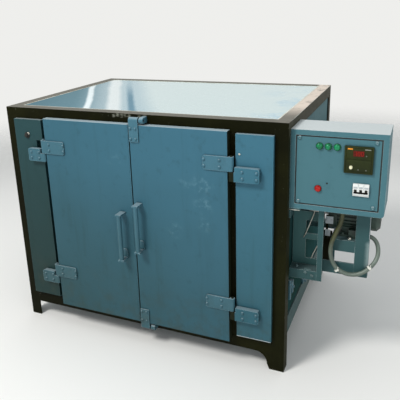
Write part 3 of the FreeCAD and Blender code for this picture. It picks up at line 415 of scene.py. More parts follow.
def inner_sheet(name, holes=False):
    """Dull inner sheet steel, tanned a little by the heat."""
    s = Shader(name)
    cloud = s.noise(3, 5, 0.6)
    colour = s.mix(s.span(cloud, 0.3, 0.75), (0.22, 0.22, 0.21), (0.38, 0.375, 0.36))
    tan = s.span(s.noise(12, 6, 0.65), 0.5, 0.75, 0.0, 0.45)
    colour = s.mix(tan, colour, (0.24, 0.19, 0.12))
    grain = s.noise(80, 4, 0.6, s.stretch(1, 1, 9))
    rough = s.plus(0.34, s.times(grain, 0.2))
    if not holes:
        s.set(Base_Color=colour, Metallic=SHEET_METAL, Roughness=rough)
        s.bump((cloud, 0.25, 0.003), (grain, 0.06, 0.0004))
        return s.material
    # Painted shade: the duct's holes are near-black dots in the colour, not openings.
    away = None
    for axis in ("Y", "Z"):
        step = s.math("DIVIDE", s.axis(axis), DUCT_HOLE_PITCH)
        wave = s.minus(s.math("FRACT", step), 0.5)
        square = s.times(wave, wave)
        away = square if away is None else s.plus(away, square)
    hole = s.span(away, 0.036, 0.026)
    colour = s.mix(hole, colour, (0.004, 0.004, 0.004))
    metal = s.minus(SHEET_METAL, s.times(hole, SHEET_METAL))
    s.set(Base_Color=colour, Metallic=metal, Roughness=rough)
    s.bump((hole, -0.6, 0.002), (grain, 0.05, 0.0004))
    return s.material


def bare_metal(name, light, dark, rough=0.35, metal=0.95):
    """Unpainted metal with a few tarnished spots."""
    s = Shader(name)
    cloud = s.noise(24, 5, 0.6)
    colour = s.mix(s.span(cloud, 0.35, 0.7), dark, light)
    tarnish = s.span(s.noise(70, 5, 0.7), 0.58, 0.74, 0.0, 0.5)
    colour = s.mix(tarnish, colour, (0.18, 0.15, 0.10))
    s.set(Base_Color=colour, Metallic=metal, Roughness=s.plus(rough, s.times(cloud, 0.2)))
    s.bump((s.noise(220, 3, 0.5), 0.15, 0.0004), (cloud, 0.2, 0.0008))
    return s.material


def cast_enamel(name, light, dark):
    """Thick machine enamel over a rough casting, dusty on top."""
    s = Shader(name)
    cloud = s.noise(16, 5, 0.6)
    colour = s.mix(s.span(cloud, 0.3, 0.7), dark, light)
    worn = s.times(s.edges(0.0016, 0.03, 0.25), s.span(s.noise(50, 5, 0.6), 0.4, 0.6))
    colour = s.mix(s.times(worn, 0.6), colour, (0.16, 0.19, 0.18))
    dust = s.span(s.noise(90, 5, 0.7), 0.56, 0.78, 0.0, 0.4)
    colour = s.mix(dust, colour, (0.10, 0.095, 0.07))
    s.set(Base_Color=colour, Roughness=s.plus(0.42, s.times(cloud, 0.2)))
    s.bump((s.noise(260, 3, 0.6), 0.3, 0.0006), (cloud, 0.3, 0.001))
    return s.material


def plastic(name, light, dark, rough=0.4, grain=420.0, grain_depth=0.12, glow=None, recess=None):
    """Moulded plastic.

    glow is (colour, strength). recess is a (centre, reach) for each axis of a box painted dark as
    shade.
    """
    s = Shader(name)
    cloud = s.noise(20, 4, 0.5)
    colour = s.mix(s.span(cloud, 0.3, 0.7), dark, light)
    dirt = s.span(s.noise(130, 5, 0.7), 0.6, 0.8, 0.0, 0.25)
    colour = s.mix(dirt, colour, darker(dark, 0.6))
    # Painted shade inside a recess, such as the breaker's lever slot.
    if recess:
        inside = None
        for axis, (centre, reach) in zip("XYZ", recess):
            here = s.band(s.axis(axis), centre, reach, 0.97)
            inside = here if inside is None else s.times(inside, here)
        colour = s.mix(inside, colour, (0.012, 0.012, 0.009))
    s.set(Base_Color=colour, Roughness=s.plus(rough, s.times(cloud, 0.12)),
          Specular_IOR_Level=0.22)
    if glow:
        s.set(Emission_Color=glow[0], Emission_Strength=glow[1])
    s.bump((s.noise(grain, 3, 0.5), grain_depth, 0.0003))
    return s.material


def conduit_skin(name):
    """Plastic conduit: a dark brown painted shadow where it leaves the box, lighter grey on the
    open loop.
    """
    s = Shader(name)
    cloud = s.noise(20, 4, 0.5)
    lit_tone = s.mix(s.span(cloud, 0.3, 0.7), (0.090, 0.118, 0.096), (0.150, 0.190, 0.160))
    shaded_tone = s.mix(s.span(cloud, 0.3, 0.7), (0.030, 0.034, 0.010), (0.062, 0.068, 0.026))
    # Painted shadow of the box on the conduit's upper part.
    upper = s.times(s.span(s.axis("Z"), 0.49, 0.60), s.span(s.axis("X"), 0.76, 0.70))
    colour = s.mix(upper, lit_tone, shaded_tone)
    dirt = s.span(s.noise(90, 5, 0.7), 0.56, 0.76, 0.0, 0.4)
    colour = s.mix(dirt, colour, (0.05, 0.052, 0.030))
    # Painted shade on faces turned down.
    colour = s.mix(s.times(s.turned("Z", -0.1, -0.8), 0.5), colour, (0.035, 0.036, 0.018))
    s.set(Base_Color=colour, Roughness=s.plus(0.30, s.times(cloud, 0.12)), Specular_IOR_Level=0.4)
    s.bump((s.noise(60, 3, 0.5), 0.25, 0.0003))
    return s.material


def lens(name, light, dark):
    """Moulded lamp cap that scatters the light a little."""
    s = Shader(name)
    cloud = s.noise(90, 3, 0.5)
    s.set(Base_Color=s.mix(s.span(cloud, 0.35, 0.65), dark, light), Roughness=0.24,
          Specular_IOR_Level=0.3, Subsurface_Weight=0.1, Subsurface_Radius=(0.004, 0.004, 0.004))
    s.bump((s.noise(300, 2, 0.5), 0.12, 0.0003))
    return s.material


# Colours of a paint: light, dark and worn.
WORN_BLUE = (0.22, 0.40, 0.47)
WORN_STAND = (0.40, 0.50, 0.50)
DOOR_PAINT = ((0.041, 0.136, 0.196), (0.021, 0.066, 0.077), WORN_BLUE)
PANEL_PAINT = ((0.043, 0.146, 0.208), (0.021, 0.070, 0.078), WORN_BLUE)
# A darker copy of the panel paint, as painted shade on the left stile.
SHADED_PAINT = ((0.018, 0.060, 0.068), (0.009, 0.030, 0.028), (0.14, 0.25, 0.28))
SIDE_PAINT = ((0.040, 0.112, 0.124), (0.024, 0.070, 0.070), WORN_BLUE)
FITTING_PAINT = ((0.050, 0.152, 0.208), (0.026, 0.080, 0.094), (0.36, 0.54, 0.62))
BOX_PAINT = ((0.062, 0.164, 0.194), (0.048, 0.134, 0.160), (0.50, 0.62, 0.64))
STAND_PAINT = ((0.034, 0.092, 0.100), (0.018, 0.050, 0.046), WORN_STAND)
# A lighter copy of the stand paint, as painted light on the ladder plate.
LIT_LADDER_PAINT = ((0.046, 0.122, 0.124), (0.028, 0.076, 0.070), WORN_STAND)
WHITE_PLASTIC = ((0.80, 0.82, 0.80), (0.70, 0.73, 0.72))

DOOR_SCUFFS = [
    (at(938, DOOR_FACE, 781), 0.060, 0.34), (at(870, DOOR_FACE, 785), 0.045, 0.16),
    (at(940, DOOR_FACE, 700), 0.055, 0.30), (at(812, DOOR_FACE, 577), 0.050, 0.22),
    (at(947, DOOR_FACE, 618), 0.045, 0.20), (at(560, DOOR_FACE, 840), 0.05, 0.12),
]
# Painted reflection: a pale streak down the box's right face.
BOX_GLARE_SPOTS = [(at(1593, 54, height), 0.022, 0.42) for height in range(748, 829, 8)]
# Painted highlight along the post's lit right edge.
POST_HIGHLIGHT_SPOTS = [(at(1548, 100, height), 0.021, 0.48) for height in range(482, 567, 7)]
# Where the box's painted shadow lies on the right wall, and how far it reaches.
BOX_SHADOW_SPOT = (at(CABINET_WIDTH, 300, 400), 0.56)
# The box of painted shade in the breaker's lever slot.
TOGGLE_SLOT_SHADE = ((0.7145, 0.0264), (-0.3757, 0.0046), (0.7996, 0.0086))

MATERIALS = {
    "panel": paint("panel_enamel", *PANEL_PAINT),
    # The left stile's paint is a darker copy of the panel's: painted shade.
    "panel_shaded": paint("panel_enamel_painted_shade", *SHADED_PAINT),
    # The right wall has a painted shadow of the box near the motor and a painted reflection near
    # its top.
    "side": paint("side_wall_enamel", *SIDE_PAINT, sheen=0.0, painted_shadow=BOX_SHADOW_SPOT,
                  painted_reflection=(0.170, 0.262, 0.278)),
    "door": paint("door_enamel", *DOOR_PAINT, wear=0.85, dust=0.75, scuffs_and_glare=DOOR_SCUFFS,
                  dark_sides=True),
    "fittings": paint("fittings_enamel", *FITTING_PAINT, gloss=0.34, wear=0.8, dust=0.36,
                      sheen=0.3),
    # The right stile hinges have their knuckles painted black as shade.
    "hinge_right": paint("hinge_enamel", *FITTING_PAINT, gloss=0.34, wear=0.8, dust=0.3,
                         sheen=0.06, shade_to_x=0.2700),
    # The box's pale top is painted top light, and its right face carries a painted reflection.
    "box": paint("box_enamel", *BOX_PAINT, grime=0.0, wear=0.9, dust=1.0, scuffs_and_glare=BOX_GLARE_SPOTS,
                 patch_low=0.26),
    # The stand's pale patches are a painted highlight on the post's lit right edge.
    "stand": paint("stand_enamel", *STAND_PAINT, wear=0.9, dust=0.10, scuffs_and_glare=POST_HIGHLIGHT_SPOTS,
                   patch_low=0.30),
    # The ladder plate's paint is a lighter copy of the stand's: painted light.
    "ladder": paint("ladder_enamel_painted_light", *LIT_LADDER_PAINT, wear=0.9, dust=0.10),
    "iron": black_iron("black_iron_paint"),
    "roof": roof_mirror("roof_sheet_painted_reflections"),
    "inner": inner_sheet("inner_sheet_steel"),
    "duct": inner_sheet("perforated_duct_sheet", holes=True),
    "motor": cast_enamel("motor_enamel", (0.030, 0.062, 0.046), (0.013, 0.027, 0.021)),
    "shield": bare_metal("cast_aluminium", (0.62, 0.66, 0.68), (0.36, 0.40, 0.41), 0.42, 0.7),
    "steel": bare_metal("turned_steel", (0.55, 0.55, 0.53), (0.34, 0.34, 0.33), 0.25),
    "zinc": bare_metal("zinc_plated", (0.70, 0.70, 0.64), (0.44, 0.43, 0.38), 0.28, 0.9),
    "black": plastic("black_plastic", (0.018, 0.026, 0.002), (0.010, 0.015, 0.001), 0.5),
    "white": plastic("breaker_plastic", *WHITE_PLASTIC, 0.36, recess=TOGGLE_SLOT_SHADE),
    "cheek": plastic("breaker_cheek_plastic", *WHITE_PLASTIC, 0.36),
    "toggle": plastic("toggle_plastic", (0.010, 0.011, 0.006), (0.005, 0.006, 0.003), 0.4),
    "green": lens("green_lamp_cap", (0.006, 0.225, 0.085), (0.003, 0.120, 0.045)),
    "red": lens("red_lamp_cap", (0.46, 0.010, 0.006), (0.28, 0.005, 0.003)),
    "conduit": conduit_skin("grey_conduit"),
    "tie": plastic("white_nylon", (0.80, 0.80, 0.74), (0.64, 0.64, 0.58), 0.35),
    "seal": plastic("pale_sealant", (0.66, 0.68, 0.62), (0.46, 0.46, 0.38), 0.55, 90.0, 0.5),
    "gasket": plastic("door_gasket", (0.030, 0.030, 0.028), (0.016, 0.016, 0.015), 0.7, 160.0,
                      0.5),
    "display": plastic("red_digits", (0.42, 0.012, 0.004), (0.32, 0.010, 0.003), 0.4,
                       glow=((1.0, 0.04, 0.01), 0.10)),
    "window": plastic("display_window", (0.105, 0.006, 0.001), (0.080, 0.004, 0.001), 0.3),
    "amber": plastic("amber_mark", (0.80, 0.30, 0.03), (0.66, 0.21, 0.02), 0.4),
    "cream": plastic("cream_knob", (0.86, 0.84, 0.60), (0.74, 0.72, 0.48), 0.4),
    "pale_grey": plastic("pale_print", (0.48, 0.53, 0.55), (0.42, 0.46, 0.48), 0.4),
    "grey": plastic("grey_mark", (0.30, 0.32, 0.28), (0.22, 0.24, 0.20), 0.4),
}

NODE_LOOK = {
    "iron": ["post_front_left", "post_front_right", "post_rear_left", "post_rear_right",
             "rails_bottom_long", "rails_top_long", "rails_top_short", "jambs"],
    "panel": ["stile_panel_right"],
    "panel_shaded": ["stile_panel_left"],
    "side": ["walls_side", "wall_back", "floor_panel"],
    "door": ["door_left", "door_right"],
    "fittings": ["handle_left", "handle_right", "hinge_leaves_door_left",
                 "hinge_leaves_door_right", "hinge_leaves_stile_left", "latches",
                 "latch_keepers"],
    "hinge_right": ["hinge_leaves_stile_right"],
    "box": ["control_box", "control_cover"],
    "stand": ["stand_tray", "stand_upright", "stand_base_bar", "stand_post", "stand_inner_bar",
              "stand_rear_arm", "motor_ledge", "box_bracket", "rails_bottom_short"],
    "ladder": ["stand_ladder"],
    "roof": ["roof_panel"],
    "inner": ["door_plug_left", "door_plug_right", "tray_runners_left", "tray_runners_right"],
    "duct": ["duct_walls"],
    "motor": ["motor_body", "motor_cowl", "motor_shield"],
    "steel": ["motor_shaft"],
    "black": ["temperature_controller", "conduit_glands"],
    "white": ["circuit_breaker"],
    "toggle": ["breaker_toggle"],
    "green": ["lamps_green"],
    "red": ["lamp_red"],
}


def look(obj, name):
    """Give an object one material."""
    obj.data.materials.clear()
    obj.data.materials.append(MATERIALS[name])


for name, nodes in NODE_LOOK.items():
    for node in nodes:
        look(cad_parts[node], name)


# Small shapes

def finish_mesh(name, mesh, body, material, smooth=True, angle=35):
    """Turn a bmesh into a piece that rides on a body."""
    data = bpy.data.meshes.new(name)
    bmesh.ops.recalc_face_normals(mesh, faces=mesh.faces)
    mesh.to_mesh(data)
    mesh.free()
    piece = bpy.data.objects.new(name, data)
    bpy.context.scene.collection.objects.link(piece)
    look(piece, material)
    if smooth:
        data.shade_smooth()
        for edge in data.edges:
            edge.use_edge_sharp = False
        data.set_sharp_from_angle(angle=math.radians(angle))
    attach(piece, body)
    return piece


def tube(name, points, radius, roundness, steps, material):
    """A round tube along a route. The caller says what it rides on."""
    data = bpy.data.curves.new(name, "CURVE")
    data.dimensions = "3D"
    data.bevel_depth = radius
    data.bevel_resolution = roundness
    data.resolution_u = steps
    line = data.splines.new("NURBS")
    line.points.add(len(points) - 1)
    for control, point in zip(line.points, points):
        control.co = (*point, 1)
    line.order_u = 3
    line.use_endpoint_u = True
    piece = bpy.data.objects.new(name, data)
    bpy.context.scene.collection.objects.link(piece)
    look(piece, material)
    return piece


def facing(direction):
    """A turn that takes local +Z to a direction."""
    return Vector((0, 0, 1)).rotation_difference(Vector(direction)).to_matrix().to_4x4()


def lathe(mesh, profile, centre, direction, steps=24, turn=0.0):
    """Spin a profile of (radius, height) about a direction, both ends closed."""
    place = Matrix.Translation(centre) @ facing(direction) @ Matrix.Rotation(turn, 4, "Z")
    rings = []
    for radius, height in profile:
        if radius < 1e-7:
            rings.append([mesh.verts.new(place @ Vector((0, 0, height)))])
            continue
        ring = []
        for i in range(steps):
            angle = 2 * math.pi * i / steps
            point = Vector((radius * math.cos(angle), radius * math.sin(angle), height))
            ring.append(mesh.verts.new(place @ point))
        rings.append(ring)
    for low, high in zip(rings, rings[1:]):
        for i in range(steps):
            j = (i + 1) % steps
            corners = [low[i % len(low)], low[j % len(low)],
                       high[j % len(high)], high[i % len(high)]]
            unique = []
            for corner in corners:
                if corner not in unique:
                    unique.append(corner)
            if len(unique) > 2:
                mesh.faces.new(unique)
    for ring in (rings[0], rings[-1]):
        if len(ring) > 2:
            mesh.faces.new(ring)


def block(mesh, low, high, rounding=0.0):
    """A box between two corners, its edges rounded."""
    low = Vector(low)
    high = Vector(high)
    made = bmesh.ops.create_cube(mesh, size=1.0)["verts"]
    for vertex in made:
        for i in range(3):
            vertex.co[i] = low[i] if vertex.co[i] < 0 else high[i]
    if rounding:
        edges = list(dict.fromkeys(edge for vertex in made for edge in vertex.link_edges))
        bmesh.ops.bevel(mesh, geom=edges, offset=rounding, segments=2, affect="EDGES",
                        profile=0.6)


def border(low_u, low_v, high_u, high_v, wide):
    """The four strips of a rectangle's border, each as (low u, low v, high u, high v)."""
    return ((low_u, low_v, high_u, low_v + wide), (low_u, high_v - wide, high_u, high_v),
            (low_u, low_v + wide, low_u + wide, high_v - wide),
            (high_u - wide, low_v + wide, high_u, high_v - wide))


def rivet(mesh, centre, radius=0.0060):
    """A round rivet head on a front face."""
    profile = [(radius, 0), (radius * 0.96, radius * 0.30), (radius * 0.78, radius * 0.60),
               (radius * 0.45, radius * 0.80), (0, radius * 0.88)]
    lathe(mesh, profile, centre, FRONT, 20)


def bolt(mesh, centre, direction, across=0.013, height=0.0055, washer=0.011):
    """A washer and a hexagon head with its corners turned off."""
    thick = 0.0018
    lathe(mesh, [(washer, 0), (washer, 0.0014), (washer * 0.93, thick), (0, thick)],
          centre, direction, 20)
    flat = across / math.sqrt(3)
    top = height + 0.0012
    lathe(mesh, [(flat, thick), (flat, height), (flat * 0.84, top), (0, top)],
          centre, direction, 6, 0.3)


def screw(mesh, centre, direction, radius=0.004):
    """A pan head with a recess in its middle."""
    lathe(mesh, [(radius, 0), (radius, radius * 0.3), (radius * 0.8, radius * 0.55),
                 (radius * 0.3, radius * 0.62), (radius * 0.3, radius * 0.35),
                 (0, radius * 0.35)], centre, direction, 16)


# Conduit

# Control points of the conduit's solid: right of the cabinet, back from its front, and down
# from the box's base.
CONDUIT_ROUTE = (
    (187, 80, 16), (187, 80, 53), (166, 80, 103), (149, 80, 155), (152, 80, 208), (176, 80, 249),
    (218, 80, 266), (262, 80, 256), (296, 91, 229), (318, 115, 198), (318, 134, 163),
    (306, 140, 136), (285, 140, 122), (260, 140, 122),
)
BOX_BASE = 708


def add_conduit():
    """The flexible conduit, on the route that its solid follows, and its two cable ties."""
    points = [at(CABINET_WIDTH + across, back, BOX_BASE - drop)
              for across, back, drop in CONDUIT_ROUTE]
    piece = tube("conduit_tube", points, 0.008, 5, 10, "conduit")
    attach(piece, "cabinet")
    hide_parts("conduit")
    ties = bmesh.new()
    for centre, along in ((at(1438, 80, 456), (0.62, 0, -0.78)),
                          (at(1553, 90, 479), (0.72, 0.25, 0.65))):
        lathe(ties, [(0.0084, -0.0034), (0.0104, -0.0034), (0.0104, 0.0034), (0.0084, 0.0034)],
              centre, along, 18)
        tail = centre + Vector((0.004, -0.009, 0.004))
        buckle = Vector((0.004, 0.003, 0.003))
        block(ties, tail - buckle, tail + buckle, 0.0008)
        block(ties, tail - Vector((0.0012, 0.001, 0)), tail + Vector((0.0012, 0.001, 0.013)),
              0.0004)
    finish_mesh("cable_ties", ties, "cabinet", "tie")


# Fastenings

HINGE_HEIGHTS = (875, 288)
# A stile leaf's middle lies this far below its door leaf's.
STILE_LEAF_DROP = 38
# Each side's sign towards the door's middle, the hinge axis, and its rivets' distances from it.
HINGES = {
    "left": (1, 205, (34, 106), (22, 62)),
    "right": (-1, 1055, (44, 106), (44, 99)),
}
# The lower latch mirrors the upper one, so their heights add up to this.
LATCH_MIRROR = 113 + 998


def add_rivets():
    """Rivets of hinges and latches, and the strip that closes the slit between the doors."""
    door = {side: bmesh.new() for side in HINGES}
    fixed = bmesh.new()
    for side, (sign, axis_x, door_rivets, stile_rivets) in HINGES.items():
        for middle in HINGE_HEIGHTS:
            for across in door_rivets:
                for rise in (-14, 12):
                    rivet(door[side], at(axis_x + sign * across, FITTING_FACE, middle + rise))
            for across in stile_rivets:
                for rise in (-14, 12):
                    rivet(fixed, at(axis_x - sign * across, FITTING_FACE,
                                    middle - STILE_LEAF_DROP + rise))
    for across in (642, 664):
        for height in (984, 942):
            rivet(door["right"], at(across, FITTING_FACE, height))
            rivet(door["right"], at(across, FITTING_FACE, LATCH_MIRROR - height))
    for side, mesh in door.items():
        finish_mesh("rivets_door_" + side, mesh, side + "_door", "fittings")
    strip = bmesh.new()
    block(strip, at(626.0, -34.4, 114), at(629.6, -6, 997), 0.0004)
    finish_mesh("meeting_strip", strip, "left_door", "door")
    finish_mesh("rivets_stiles", fixed, "cabinet", "fittings")


def add_bolts():
    """Screws and bolts of the control box, the motor and the stand."""
    screws = bmesh.new()
    for x, z in ((1293, 978), (1554, 975), (1293, 737), (1554, 741)):
        screw(screws, at(x, COVER_FACE, z), FRONT, 0.0070)
    finish_mesh("cover_screws", screws, "cabinet", "box")

    foot_bolts = bmesh.new()
    for x in (1444, 1492):
        for y in (142, 238):
            bolt(foot_bolts, at(x, y, 581), UP)
    finish_mesh("motor_foot_bolts", foot_bolts, "cabinet", "motor")

    clips = bmesh.new()
    for x, z in ((1322, 434), (1347, 424)):
        bolt(clips, at(x, 60, z), FRONT, 0.008, 0.006, 0.006)
    for y in (84, 128):
        bolt(clips, at(1284, y, 443), UP, 0.009, 0.006, 0.007)
    block(clips, at(1316, 62, 443), at(1344, 78, 447), 0.001)
    finish_mesh("tray_clips", clips, "cabinet", "stand")

    bolts = bmesh.new()
    bolt(bolts, at(1474, 116, 573), UP, 0.010, 0.006, 0.008)
    bolt(bolts, at(1300, 268, 573), UP)
    # Painted highlight: a thin bright strip along the bracket's edge under the box's left end.
    block(bolts, at(1261, 26.6, 699.5), at(1300, 28.2, 702.2), 0.0004)
    for angle in (45, 135, 225, 315):
        turn = math.radians(angle)
        bolt(bolts, at(1390, MOTOR_Y + 46 * math.cos(turn), MOTOR_Z + 46 * math.sin(turn)),
             LEFT, 0.008, 0.005, 0.006)
    finish_mesh("bolts", bolts, "cabinet", "zinc")


def add_stile_details():
    """The knob and the screws on the panels beside the doors."""
    knob = bmesh.new()
    lathe(knob, [(0.013, 0), (0.013, 0.002), (0.0095, 0.0035), (0.009, 0.009), (0.0065, 0.012),
                 (0, 0.0125)], at(114, STILE_FACE, 917), FRONT, 28)
    finish_mesh("stile_knob", knob, "cabinet", "gasket")
    screws = bmesh.new()
    screw(screws, at(121, STILE_FACE, 924), FRONT, 0.0065)
    screw(screws, at(1083, STILE_FACE, 911), FRONT, 0.0042)
    finish_mesh("stile_screws", screws, "cabinet", "zinc")


def add_wall_details():
    """Small lugs low on the right wall, pale lines as painted highlights on two edges, and dark
    iron strips behind open slits as painted shade.
    """
    lugs = bmesh.new()
    block(lugs, at(1254, 56, 302), at(1268, 68, 386), 0.0015)
    block(lugs, at(1254, 84, 318), at(1270, 100, 374), 0.0015)
    block(lugs, at(1254, 64, 338), at(1264, 88, 352), 0.0010)
    block(lugs, at(1254, 328, 228), at(1264, 356, 252), 0.0012)
    for y, z in ((62, 372), (92, 346), (342, 240)):
        bolt(lugs, at(1264, y, z), RIGHT, 0.010, 0.010, 0.009)
    finish_mesh("wall_fittings", lugs, "cabinet", "fittings")

    # Painted highlights: pale lines on the right stile's lower edge and the post's right edge.
    worn = bmesh.new()
    block(worn, at(1068.6, -18.5, 138.4), at(1209.4, -17.6, 140.6), 0.0003)
    block(worn, at(1544.8, 99.4, 590), at(1546.5, 100.6, 704), 0.0003)
    finish_mesh("painted_highlight_lines", worn, "cabinet", "pale_grey")

    # Painted shade: dark iron strips behind open slits, where the inside lies in shade.
    slit_shades = bmesh.new()
    block(slit_shades, at(192, 1.5, 965), at(1068, 4.5, 985.5), 0.0003)
    block(slit_shades, at(192, 1.5, 124), at(1068, 4.5, 221), 0.0003)
    for x in (48, 1192):
        block(slit_shades, at(x, 868, 122), at(x + 20, 872, 166))
    finish_mesh("slit_shade_strips", slit_shades, "cabinet", "iron")


# Control box

# The bars of the digits that the display shows.
SEGMENTS = {"0": "abcdef", "1": "bc"}


def digit(mesh, text, x, y, z, wide, tall):
    """One seven-bar digit with its lower left corner at a point."""
    thick = wide * 0.2
    inset = thick * 0.15
    bars = {
        "a": ((0, tall - thick), (wide, tall)), "b": ((wide - thick, tall / 2), (wide, tall)),
        "c": ((wide - thick, 0), (wide, tall / 2)), "d": ((0, 0), (wide, thick)),
        "e": ((0, 0), (thick, tall / 2)), "f": ((0, tall / 2), (thick, tall)),
    }
    for bar in SEGMENTS[text]:
        (x0, z0), (x1, z1) = bars[bar]
        block(mesh, at(x + x0 + inset, y - 0.5, z + z0 + inset),
              at(x + x1 - inset, y, z + z1 - inset))


def add_cover_groove_shade():
    """A dark strip in the groove round the box's cover: painted shade."""
    mesh = bmesh.new()
    for x0, z0, x1, z1 in border(1279.3, 727.3, 1573.7, 987.7, 4.2):
        block(mesh, at(x0, 28.5, z0), at(x1, 29.3, z1), 0.0003)
    finish_mesh("cover_groove_shade", mesh, "cabinet", "gasket")


def add_controller():
    """The temperature controller's face, window, digits, marks and dial."""
    face = CONTROLLER_FACE
    body = bmesh.new()
    block(body, at(1456.5, face - 0.8, 916), at(1539.5, face + 0.1, 955), 0.0008)
    block(body, at(1456.5, face - 0.8, 871), at(1539.5, face + 0.1, 913.5), 0.0008)
    finish_mesh("controller_face", body, "cabinet", "black")
    window = bmesh.new()
    block(window, at(1479, face - 1.3, 926), at(1516, face - 0.6, 946.5), 0.0004)
    finish_mesh("controller_window", window, "cabinet", "window")
    digits = bmesh.new()
    for i, text in enumerate("100"):
        digit(digits, text, 1482.5 + i * 11.2, face - 1.2, 929, 8.4, 14.5)
    finish_mesh("controller_digits", digits, "cabinet", "display", smooth=False)
    amber = bmesh.new()
    block(amber, at(1460, face - 1.2, 949.5), at(1477, face - 0.6, 954.5), 0.0003)
    finish_mesh("controller_amber_mark", amber, "cabinet", "amber")
    marks = bmesh.new()
    block(marks, at(1517, face - 1.2, 950.5), at(1536.5, face - 0.6, 953.5), 0.0003)
    for x, z in ((1522.7, 929.6), (1498, 879), (1524, 879)):
        lathe(marks, [(0.0019, 0), (0.0017, 0.0009), (0, 0.0012)], at(x, face - 0.8, z),
              FRONT, 12)
    finish_mesh("controller_marks", marks, "cabinet", "grey")
    dial = bmesh.new()
    lathe(dial, [(0.0062, 0), (0.0062, 0.001), (0.0052, 0.0018), (0.0050, 0.0066),
                 (0.0042, 0.0078), (0, 0.0078)], at(1473.6, face - 0.8, 886), FRONT, 28)
    finish_mesh("controller_dial", dial, "cabinet", "cream")


POLES = (1493, 1511, 1529)
POLE_SEAMS = (1502, 1520)
CHEEKS = ((1484.3, 1488.4), (1497.6, 1506.4), (1515.6, 1524.4), (1533.6, 1537.7))
PIVOT_Y, PIVOT_Z = 25, 799.5
LEVER_TURN = math.radians(-14)


def add_breaker():
    """Seams and cheeks between the poles, and the three levers with their common drum."""
    seams = bmesh.new()
    for x in POLE_SEAMS:
        block(seams, at(x - 0.3, 19.7, 808.5), at(x + 0.3, 24, 826.5))
    for x in POLES:
        block(seams, at(x - 6.5, 19.8, 811.5), at(x + 6.5, 20.3, 817.5))
    block(seams, at(1485, 19.6, 785.2), at(1537, 20.3, 786.2))
    finish_mesh("breaker_seams", seams, "cabinet", "pale_grey", smooth=False)
    cheeks = bmesh.new()
    for low, high in CHEEKS:
        block(cheeks, at(low, 19.6, 798.6), at(high, 21.1, 808.4), 0.0004)
    finish_mesh("breaker_cheeks", cheeks, "cabinet", "cheek")

    levers = bmesh.new()
    lathe(levers, [(0.0036, 0), (0.0036, 0.051)], at(1485.5, PIVOT_Y, PIVOT_Z), RIGHT, 24)
    for x in POLES:
        before = set(levers.verts)
        block(levers, at(x - 3.9, PIVOT_Y - 10.8, PIVOT_Z - 0.6),
              at(x + 3.9, PIVOT_Y - 2.4, PIVOT_Z + 6.4), 0.0026)
        bmesh.ops.rotate(levers, verts=[v for v in levers.verts if v not in before],
                         cent=at(x, PIVOT_Y, PIVOT_Z), matrix=Matrix.Rotation(LEVER_TURN, 3, "X"))
    piece = finish_mesh("breaker_levers", levers, "toggle", "toggle")
    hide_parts("breaker_toggle")


LAMP_CAP = [(0.0118, 0), (0.0120, 0.0012), (0.0118, 0.0026), (0.0108, 0.0030), (0.0108, 0.0050),
            (0.0104, 0.0072), (0.0090, 0.0092), (0.0062, 0.0106), (0.0026, 0.0112), (0, 0.0113)]
LAMP_SHADE_RING = [(0.0132, 0), (0.0132, 0.0006), (0.0116, 0.0009), (0, 0.0009)]
GREEN_LAMPS = [(1363 + 30.5 * i, 952) for i in range(3)]
RED_LAMPS = [(1363, 794)]


def add_lamps():
    """Three green lamp caps and a red one, a dark ring of painted shade round each, and the spare
    hole beside the red one as a black disc of painted shade.
    """
    green = bmesh.new()
    red = bmesh.new()
    shade_rings = bmesh.new()
    for mesh, spots in ((green, GREEN_LAMPS), (red, RED_LAMPS)):
        for x, z in spots:
            lathe(mesh, LAMP_CAP, at(x, COVER_FACE, z), FRONT, 36)
            lathe(shade_rings, LAMP_SHADE_RING, at(x, COVER_FACE, z), FRONT, 36)
    caps = finish_mesh("lamp_caps_green", green, "cabinet", "green", angle=60)
    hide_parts("lamps_green")
    caps = finish_mesh("lamp_cap_red", red, "cabinet", "red", angle=60)
    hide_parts("lamp_red")
    finish_mesh("lamp_shade_rings", shade_rings, "cabinet", "toggle", angle=60)
    # The spare hole is a flat black disc: painted shade inside it.
    hole = bmesh.new()
    lathe(hole, [(0.0030, 0.0), (0.0030, 0.0003), (0, 0.0003)], at(1394, COVER_FACE, 816),
          FRONT, 16)
    finish_mesh("spare_hole", hole, "cabinet", "toggle")


# Roof border and door seals

def add_roof_border():
    """A bead of pale sealant round the roof sheet."""
    mesh = bmesh.new()
    for x0, y0, x1, y1 in border(50, 50, 1210, 831, 5):
        block(mesh, at(x0, y0, 1032.2), at(x1, y1, 1034), 0.0007)
    finish_mesh("roof_sealant", mesh, "cabinet", "seal")


def add_gaskets():
    """A rubber seal along each door's foot, head and hinge side, inside the closed door."""
    low_z, high_z = 132, 988
    plug_low_z, plug_high_z = 223, 966
    for side, low_x, high_x, edge_low, edge_high in (("left", 222, 622, 222, 249),
                                                     ("right", 638, 1038, 1011, 1038)):
        mesh = bmesh.new()
        for x0, z0, x1, z1 in ((low_x, low_z, high_x, plug_low_z),
                               (low_x, plug_high_z, high_x, high_z),
                               (edge_low, plug_low_z, edge_high, plug_high_z)):
            block(mesh, at(x0, -5, z0), at(x1, -0.6, z1), 0.0012)
        finish_mesh("gasket_" + side, mesh, side + "_door", "gasket")


# Motor and stand

PROBE_ROUTES = {
    "probe_tube": ((1350, 96, 707), (1344, 100, 675), (1328, 101, 628), (1313, 102, 584),
                   (1306, 108, 566), (1300, 112, 556)),
    "probe_tube_low": ((1356, 112, 530), (1347, 110, 508), (1338, 110, 488), (1333, 112, 470)),
}


